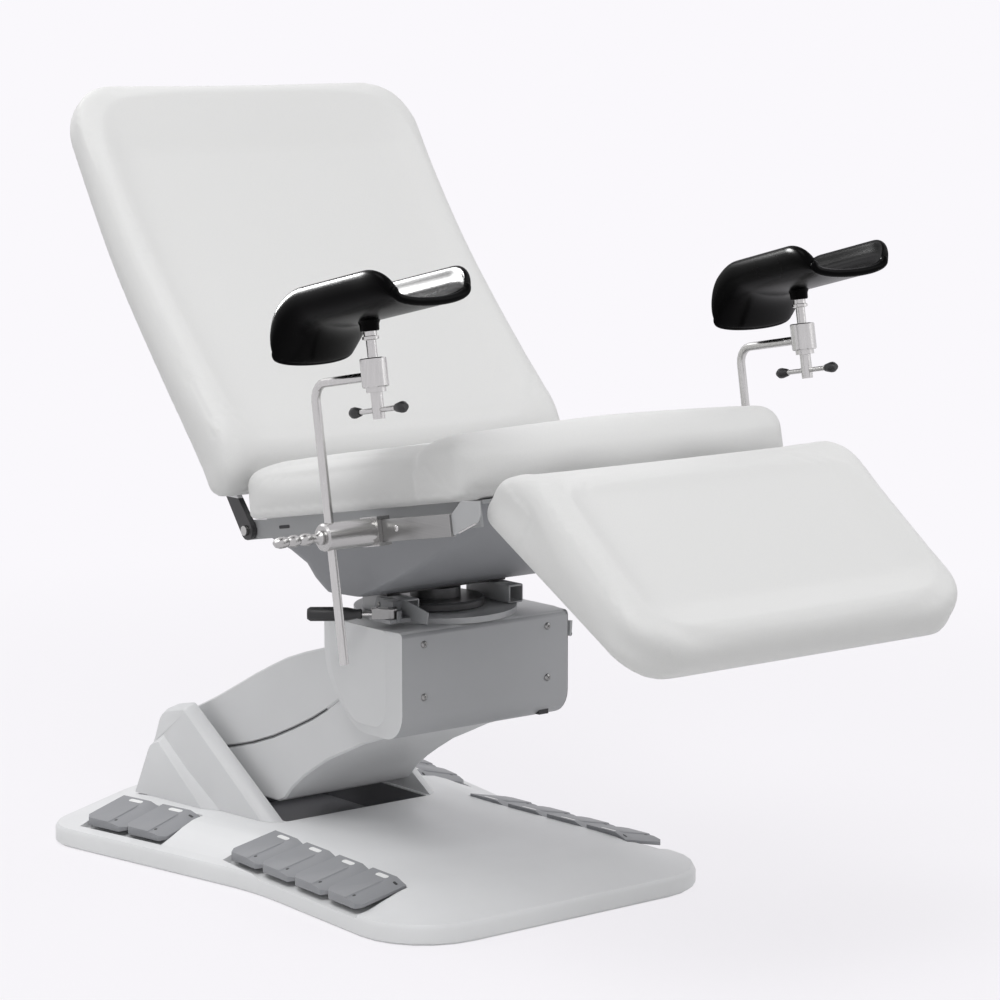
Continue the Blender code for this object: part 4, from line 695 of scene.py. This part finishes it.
# one lamp that only the two shells mirror, for the bright streak inside them
gloss = {"way": (-0.75, -0.56, 0.27), "reach": 2.4, "size": 1.0, "power": 900.0, "from": (0.62, 0.0, 0.97)}
glossData = bpy.data.lights.new("glossLamp", "AREA")
glossData.size = gloss["size"]
glossData.energy = gloss["power"]
glossLamp = bpy.data.objects.new("glossLamp", glossData)
glossLamp.location = Vector(gloss["from"]) + Vector(gloss["way"]) * gloss["reach"]
glossLamp.rotation_euler = (-Vector(gloss["way"])).to_track_quat("-Z", "Y").to_euler()
glossLamp.visible_camera = glossLamp.visible_diffuse = False
scene.collection.objects.link(glossLamp)
mirrored = bpy.data.collections.new("mirroredShells")
for word, _ in sides:
    mirrored.objects.link(bpy.data.objects[f"kneeTrough_{word}"])
glossLamp.light_linking.receiver_collection = mirrored
print("knee shells made")

# small repeated pieces: screws on points, beads along paths
def screwTree():
    tree, given, out = newGroup("domeScrews", "GeometryNodeTree",
                                [("Geometry", "NodeSocketGeometry", None), ("Radius", "NodeSocketFloat", 0.004),
                                 ("Seed", "NodeSocketInt", 3), ("Finish", "NodeSocketMaterial", None)],
                                [("Geometry", "NodeSocketGeometry")])
    ball = addNode(tree, "GeometryNodeMeshUVSphere", {"Segments": 28, "Rings": 14, "Radius": 1.0})
    dome = addNode(tree, "GeometryNodeTransform", {"Geometry": ball.outputs["Mesh"], "Scale": (1.0, 1.0, 0.55)})
    cross = addNode(tree, "GeometryNodeMeshBoolean", {"Mesh 1": dome.outputs[0]}, operation="DIFFERENCE")
    for size in ((1.15, 0.24, 0.7), (0.24, 1.15, 0.7)):
        bar = addNode(tree, "GeometryNodeMeshCube", {"Size": size})
        high = addNode(tree, "GeometryNodeTransform", {"Geometry": bar.outputs["Mesh"],
                                                       "Translation": (0.0, 0.0, 0.62)})
        tree.links.new(high.outputs[0], cross.inputs["Mesh 2"])
    facing = addNode(tree, "GeometryNodeInputNamedAttribute", {"Name": "facing"}, data_type="FLOAT_VECTOR")
    aim = addNode(tree, "FunctionNodeAlignRotationToVector", {"Vector": facing.outputs["Attribute"]}, axis="Z")
    spin = addNode(tree, "FunctionNodeRandomValue", {"Max": 6.283, "Seed": given["Seed"]}, data_type="FLOAT")
    about = addNode(tree, "FunctionNodeAxisAngleToRotation", {"Axis": (0.0, 0.0, 1.0), "Angle": spin.outputs[1]})
    turn = addNode(tree, "FunctionNodeRotateRotation", {"Rotation": aim.outputs[0], "Rotate By": about.outputs[0]},
                   rotation_space="LOCAL")
    heads = addNode(tree, "GeometryNodeInstanceOnPoints",
                    {"Points": given["Geometry"], "Instance": cross.outputs[0], "Rotation": turn.outputs[0],
                     "Scale": given["Radius"]})
    real = addNode(tree, "GeometryNodeRealizeInstances", {"Geometry": heads.outputs[0]})
    finish = addNode(tree, "GeometryNodeSetMaterial", {"Geometry": real.outputs[0], "Material": given["Finish"]})
    tree.links.new(finish.outputs[0], out["Geometry"])
    return tree


def beadTree():
    tree, given, out = newGroup("pathBead", "GeometryNodeTree",
                                [("Geometry", "NodeSocketGeometry", None), ("Radius", "NodeSocketFloat", 0.002),
                                 ("Finish", "NodeSocketMaterial", None)], [("Geometry", "NodeSocketGeometry")])
    path = addNode(tree, "GeometryNodeMeshToCurve", {"Mesh": given["Geometry"]})
    ring = addNode(tree, "GeometryNodeCurvePrimitiveCircle", {"Resolution": 14, "Radius": given["Radius"]})
    tube = addNode(tree, "GeometryNodeCurveToMesh", {"Curve": path.outputs[0], "Profile Curve": ring.outputs[0],
                                                     "Fill Caps": True})
    finish = addNode(tree, "GeometryNodeSetMaterial", {"Geometry": tube.outputs[0], "Material": given["Finish"]})
    tree.links.new(finish.outputs[0], out["Geometry"])
    return tree


domeScrews, pathBead = screwTree(), beadTree()


def growPiece(name, tree, body, finish, radius, points, edges=(), facing=()):
    data = bpy.data.meshes.new(name)
    data.from_pydata([tuple(point) for point in points], list(edges), [])
    if facing:
        marks = data.attributes.new("facing", "FLOAT_VECTOR", "POINT")
        for mark, way in zip(marks.data, facing):
            mark.vector = way
    seed = bpy.data.objects.new(name, data)
    scene.collection.objects.link(seed)
    grow = seed.modifiers.new("grow", "NODES")
    grow.node_group = tree
    grow[inputId(tree, "Radius")] = radius
    grow[inputId(tree, "Finish")] = finish
    bakeMesh(seed)
    made = seed.data
    bpy.data.objects.remove(seed, do_unlink=True)
    bpy.data.meshes.remove(data)
    return addPiece(name, made, body, finish, (), 40.0)


def growBeads(name, body, finish, radius, paths):
    points = [point for path in paths for point in path]
    edges, first = [], 0
    for path in paths:
        edges += [(first + i, first + i + 1) for i in range(len(path) - 1)]
        first += len(path)
    return growPiece(name, pathBead, body, finish, radius, points, edges)


def landOn(node, origin, way):
    # where a line meets a solid, and which way its face looks there
    solid = nodes[node].data
    skin = BVHTree.FromPolygons([v.co for v in solid.vertices], [p.vertices for p in solid.polygons])
    place, normal, _, _ = skin.ray_cast(Vector(origin), Vector(way))
    return place, normal


def standOn(place, normal, ahead):
    # frame on a face: x ahead in the face, z out of it
    up = normal.normalized()
    along = (ahead - up * ahead.dot(up)).normalized()
    return Matrix.Translation(place) @ Matrix((along, up.cross(along), up)).transposed().to_4x4()


def platePiece(mesh, outline, place, low, high, ease=0.0004):
    # flat plate with softened upper edge
    centre = sum((Vector(p) for p in outline), Vector((0.0, 0.0))) / len(outline)
    inner = [centre + (Vector(p) - centre) * (1.0 - ease / (Vector(p) - centre).length) for p in outline]
    rings = [[(*p, low) for p in outline], [(*p, high - ease) for p in outline], [(*p, high) for p in inner]]
    return loftMesh(rings, place, mesh)


def ovalOutline(length, width, steps=8):
    # rounded bar about the origin
    reach, radius = 0.5 * (length - width), 0.5 * width
    ends = [(reach, -90.0), (-reach, 90.0)]
    return [(x + radius * cos(radians(start + 180.0 * i / steps)), radius * sin(radians(start + 180.0 * i / steps)))
            for x, start in ends for i in range(steps + 1)]


# fixings on the head cover, the rails and the seat flanges
fixings = {"coverY": 0.128, "coverZ": (0.425, 0.339), "coverRadius": 0.0062, "railAt": (0.279, 0.0610),
           "railRadius": 0.0052, "slotAt": (-0.108, 0.0755), "slotSize": (0.030, 0.0055)}


def makeFixings():
    spots = [landOn("head_front_cover", (0.6, side * fixings["coverY"], z), (-1.0, 0.0, 0.0))
             for _, side in sides for z in fixings["coverZ"]]
    growPiece("coverScrews", domeScrews, "head", flatSteel, fixings["coverRadius"],
              [place for place, _ in spots], (), [normal for _, normal in spots])
    spots = []
    slots = bmesh.new()
    for word, side in sides:
        s, n = fixings["railAt"]
        spots.append(landOn(f"side_rail_{word}", seatFrame @ Vector((s, side * 0.6, n)), (0.0, -side, 0.0)))
        # painted shade: the flange slot is a thin dark plate standing in for the shade in the slot
        s, n = fixings["slotAt"]
        place, normal = landOn("seat_frame", seatFrame @ Vector((s, side * 0.6, n)), (0.0, -side, 0.0))
        lie = standOn(place, normal, seatFrame.to_3x3() @ Vector((1.0, 0.0, 0.0)))
        platePiece(slots, ovalOutline(*fixings["slotSize"]), lie, -0.0005, 0.0004, 0.0002)
    growPiece("railScrews", domeScrews, "seat", drawnSteel, fixings["railRadius"],
              [place for place, _ in spots], (), [normal for _, normal in spots])
    addPiece("flangeSlots", slots, "seat", holeShadeAndDarkParts)


makeFixings()

# painted shade: a dark bead on either side stands in for the shade in the seam between the two arm covers
seam = {"halfY": 0.1337, "radius": 0.0010, "line": [(-0.318, 0.146), (-0.260, 0.152), (-0.196, 0.166), (-0.135, 0.183),
                                                    (-0.074, 0.204), (-0.017, 0.228), (0.040, 0.254), (0.082, 0.277)]}
growBeads("armSeam", "arm", holeShadeAndDarkParts, seam["radius"],
          [[(x, side * seam["halfY"], z) for x, z in seam["line"]] for _, side in sides])

# pedals: plain white patch, screw hole in the groove and oval slot on the last of each row, the hole and slot as dark
# plates of painted shade
pedal = {"pitch": 0.0985, "width": 0.0945, "start": 0.002, "patch": (0.032, 0.009), "patchAt": (0.0425, 0.011),
         "hole": 0.0058, "holeAt": (0.675, 0.078), "slot": (0.010, 0.0045), "slotAt": (0.86, 0.012),
         "rows": {"front": (0.0325, 0.207, -3.1, 4), "rear": (-0.337, 0.272, 10.7, 2)}}


def makePedalMarks(word, side, end):
    x, y, turn, count = pedal["rows"][end]
    angle = radians(-turn * side)
    ahead = Vector((cos(angle), sin(angle), 0.0))
    outward = Vector((-sin(angle), cos(angle), 0.0)) * side
    for i in range(count):
        body = f"pedal_{word}_{end}_{i + 1}"
        origin = Vector((x, side * y, 0.3)) + ahead * (i * pedal["pitch"] + pedal["start"])
        wide = pedal["width"]

        def seat(along, out):
            return standOn(*landOn(body, origin + ahead * along + outward * out, (0.0, 0.0, -1.0)), ahead)

        patch = platePiece(None, ovalOutline(*pedal["patch"], 4), seat(*pedal["patchAt"]), -0.0006, 0.0005, 0.0002)
        addPiece(f"patch_{body}", patch, body, whitePatch)
        share, out = pedal["holeAt"]
        marks = platePiece(None, ovalOutline(pedal["hole"] + 0.0001, pedal["hole"]), seat(share * wide, out),
                           -0.0006, 0.0003, 0.0001)
        if i == count - 1:
            share, out = pedal["slotAt"]
            platePiece(marks, ovalOutline(*pedal["slot"]), seat(share * wide, out), -0.0006, 0.0004, 0.0002)
        addPiece(f"holes_{body}", marks, body, holeShadeAndDarkParts)


for word, side in sides:
    for end in pedal["rows"]:
        makePedalMarks(word, side, end)
print("fixings, seam and pedal marks made")

# swivel brake: fork wires and rivet plates on the lever, strap and gusset beside the tube
brake = {"pivot": (0.292, -0.157, 0.469), "turn": 231.3, "plate": 0.0024, "wire": 0.0021, "rivet": 0.0030,
         "gusset": [(0.205, 0.4585), (0.348, 0.4585), (0.352, 0.478), (0.305, 0.4880), (0.215, 0.4850)],
         "gussetY": -0.1262,
         "boltAt": (0.221, 0.4735)}


def makeBrake():
    angle = radians(brake["turn"])
    lie = Matrix.Translation(brake["pivot"]) @ Matrix.Rotation(angle, 4, "Z")
    plates = bmesh.new()
    outline = [(-0.010, -0.008), (-0.004, -0.012), (0.026, -0.011), (0.032, -0.006), (0.032, 0.006), (0.026, 0.011),
               (-0.004, 0.012), (-0.010, 0.008)]
    platePiece(plates, outline, lie, 0.0092, 0.0092 + brake["plate"])
    for y in (-0.0125, 0.0105):
        platePiece(plates, [(0.002, y), (0.030, y), (0.030, y + 0.002), (0.002, y + 0.002)], lie, -0.0040, 0.0112)
    addPiece("togglePlates", plates, "brake", flatSteel)
    wires = [[lie @ Vector(p) for p in ((0.024, side * 0.0085, 0.003), (0.036, side * 0.0085, 0.003),
                                        (0.046, side * 0.004, 0.002), (0.056, side * 0.003, 0.002))]
             for side in (-1, 1)]
    growBeads("toggleFork", "brake", drawnSteel, brake["wire"], wires)
    rivets = [lie @ Vector((x, 0.0, 0.0116)) for x in (0.000, 0.022)]
    growPiece("toggleRivets", domeScrews, "brake", drawnSteel, brake["rivet"], rivets, (),
              [(0.0, 0.0, 1.0)] * 2)
    upright = Matrix.Translation((0.0, brake["gussetY"], 0.0)) @ Matrix.Rotation(radians(90.0), 4, "X")
    gusset = platePiece(None, brake["gusset"], upright, 0.0, 0.0022)
    strap = [(brake["pivot"][0] + 0.018 * cos(radians(a)), brake["pivot"][1] + 0.018 * sin(radians(a)))
             for a in range(0, 76, 15)]
    strap += [(brake["pivot"][0] + 0.0155 * cos(radians(a)), brake["pivot"][1] + 0.0155 * sin(radians(a)))
              for a in range(75, -1, -15)]
    loftMesh([[(x, y, z) for x, y in strap] for z in (0.4590, 0.4770)], Matrix.Identity(4), gusset)
    addPiece("brakeGusset", gusset, "swivel", framePaint)
    x, z = brake["boltAt"]
    growPiece("gussetBolt", domeScrews, "swivel", flatSteel, 0.0045, [(x, brake["gussetY"] - 0.0022, z)], (),
              [(0.0, -1.0, 0.0)])


makeBrake()

# front end of each rail: folded plate with a thin wire below it
railEnd = {"outline": [(0.398, 0.0480), (0.412, 0.0440), (0.470, 0.0600), (0.479, 0.0700), (0.480, 0.0900),
                       (0.436, 0.0930), (0.412, 0.0760), (0.398, 0.0740)], "plane": 0.3435, "thick": 0.0020,
           "wire": [(0.426, 0.0470), (0.468, 0.0585)], "wireRadius": 0.0013}


def makeRailEnds():
    plates = bmesh.new()
    wires = []
    for _, side in sides:
        upright = seatFrame @ Matrix.Translation((0.0, side * railEnd["plane"], 0.0))
        upright = upright @ Matrix.Rotation(radians(90.0), 4, "X")
        low, high = (0.0, railEnd["thick"]) if side < 0 else (-railEnd["thick"], 0.0)
        platePiece(plates, railEnd["outline"], upright, low, high)
        wires.append([seatFrame @ Vector((s, side * 0.3465, n)) for s, n in railEnd["wire"]])
    addPiece("railEndPlates", plates, "seat", ringPaint)
    growBeads("railWires", "seat", drawnSteel, railEnd["wireRadius"], wires)


makeRailEnds()

# clips seen at the head: a dark one under the cover, a small bracket with pin on the far shield
clips = {"under": ((0.316, 0.121, 0.2745), (0.328, 0.141, 0.2835)),
         "bracket": [(0.300, 0.398), (0.338, 0.402), (0.340, 0.428), (0.300, 0.424)], "bracketY": 0.1785,
         "pinAt": (0.334, 0.405)}


def makeClips():
    low, high = clips["under"]
    outline = [(low[0], low[1]), (high[0], low[1]), (high[0], high[1]), (low[0], high[1])]
    dark = platePiece(None, outline, Matrix.Identity(4), low[2], high[2])
    addPiece("underClip", dark, "head", holeShadeAndDarkParts)
    lie = Matrix.Translation((0.0, clips["bracketY"], 0.0)) @ Matrix.Rotation(radians(90.0), 4, "X")
    bracket = platePiece(None, clips["bracket"], lie, -0.0040, 0.0005)
    addPiece("sideBracket", bracket, "head", ringPaint)
    x, z = clips["pinAt"]
    growPiece("bracketPin", domeScrews, "head", holeShadeAndDarkParts, 0.0045,
              [(x, clips["bracketY"] + 0.004, z)], (), [(0.0, 1.0, 0.0)])


makeClips()
print("brake, rail ends and clips made")
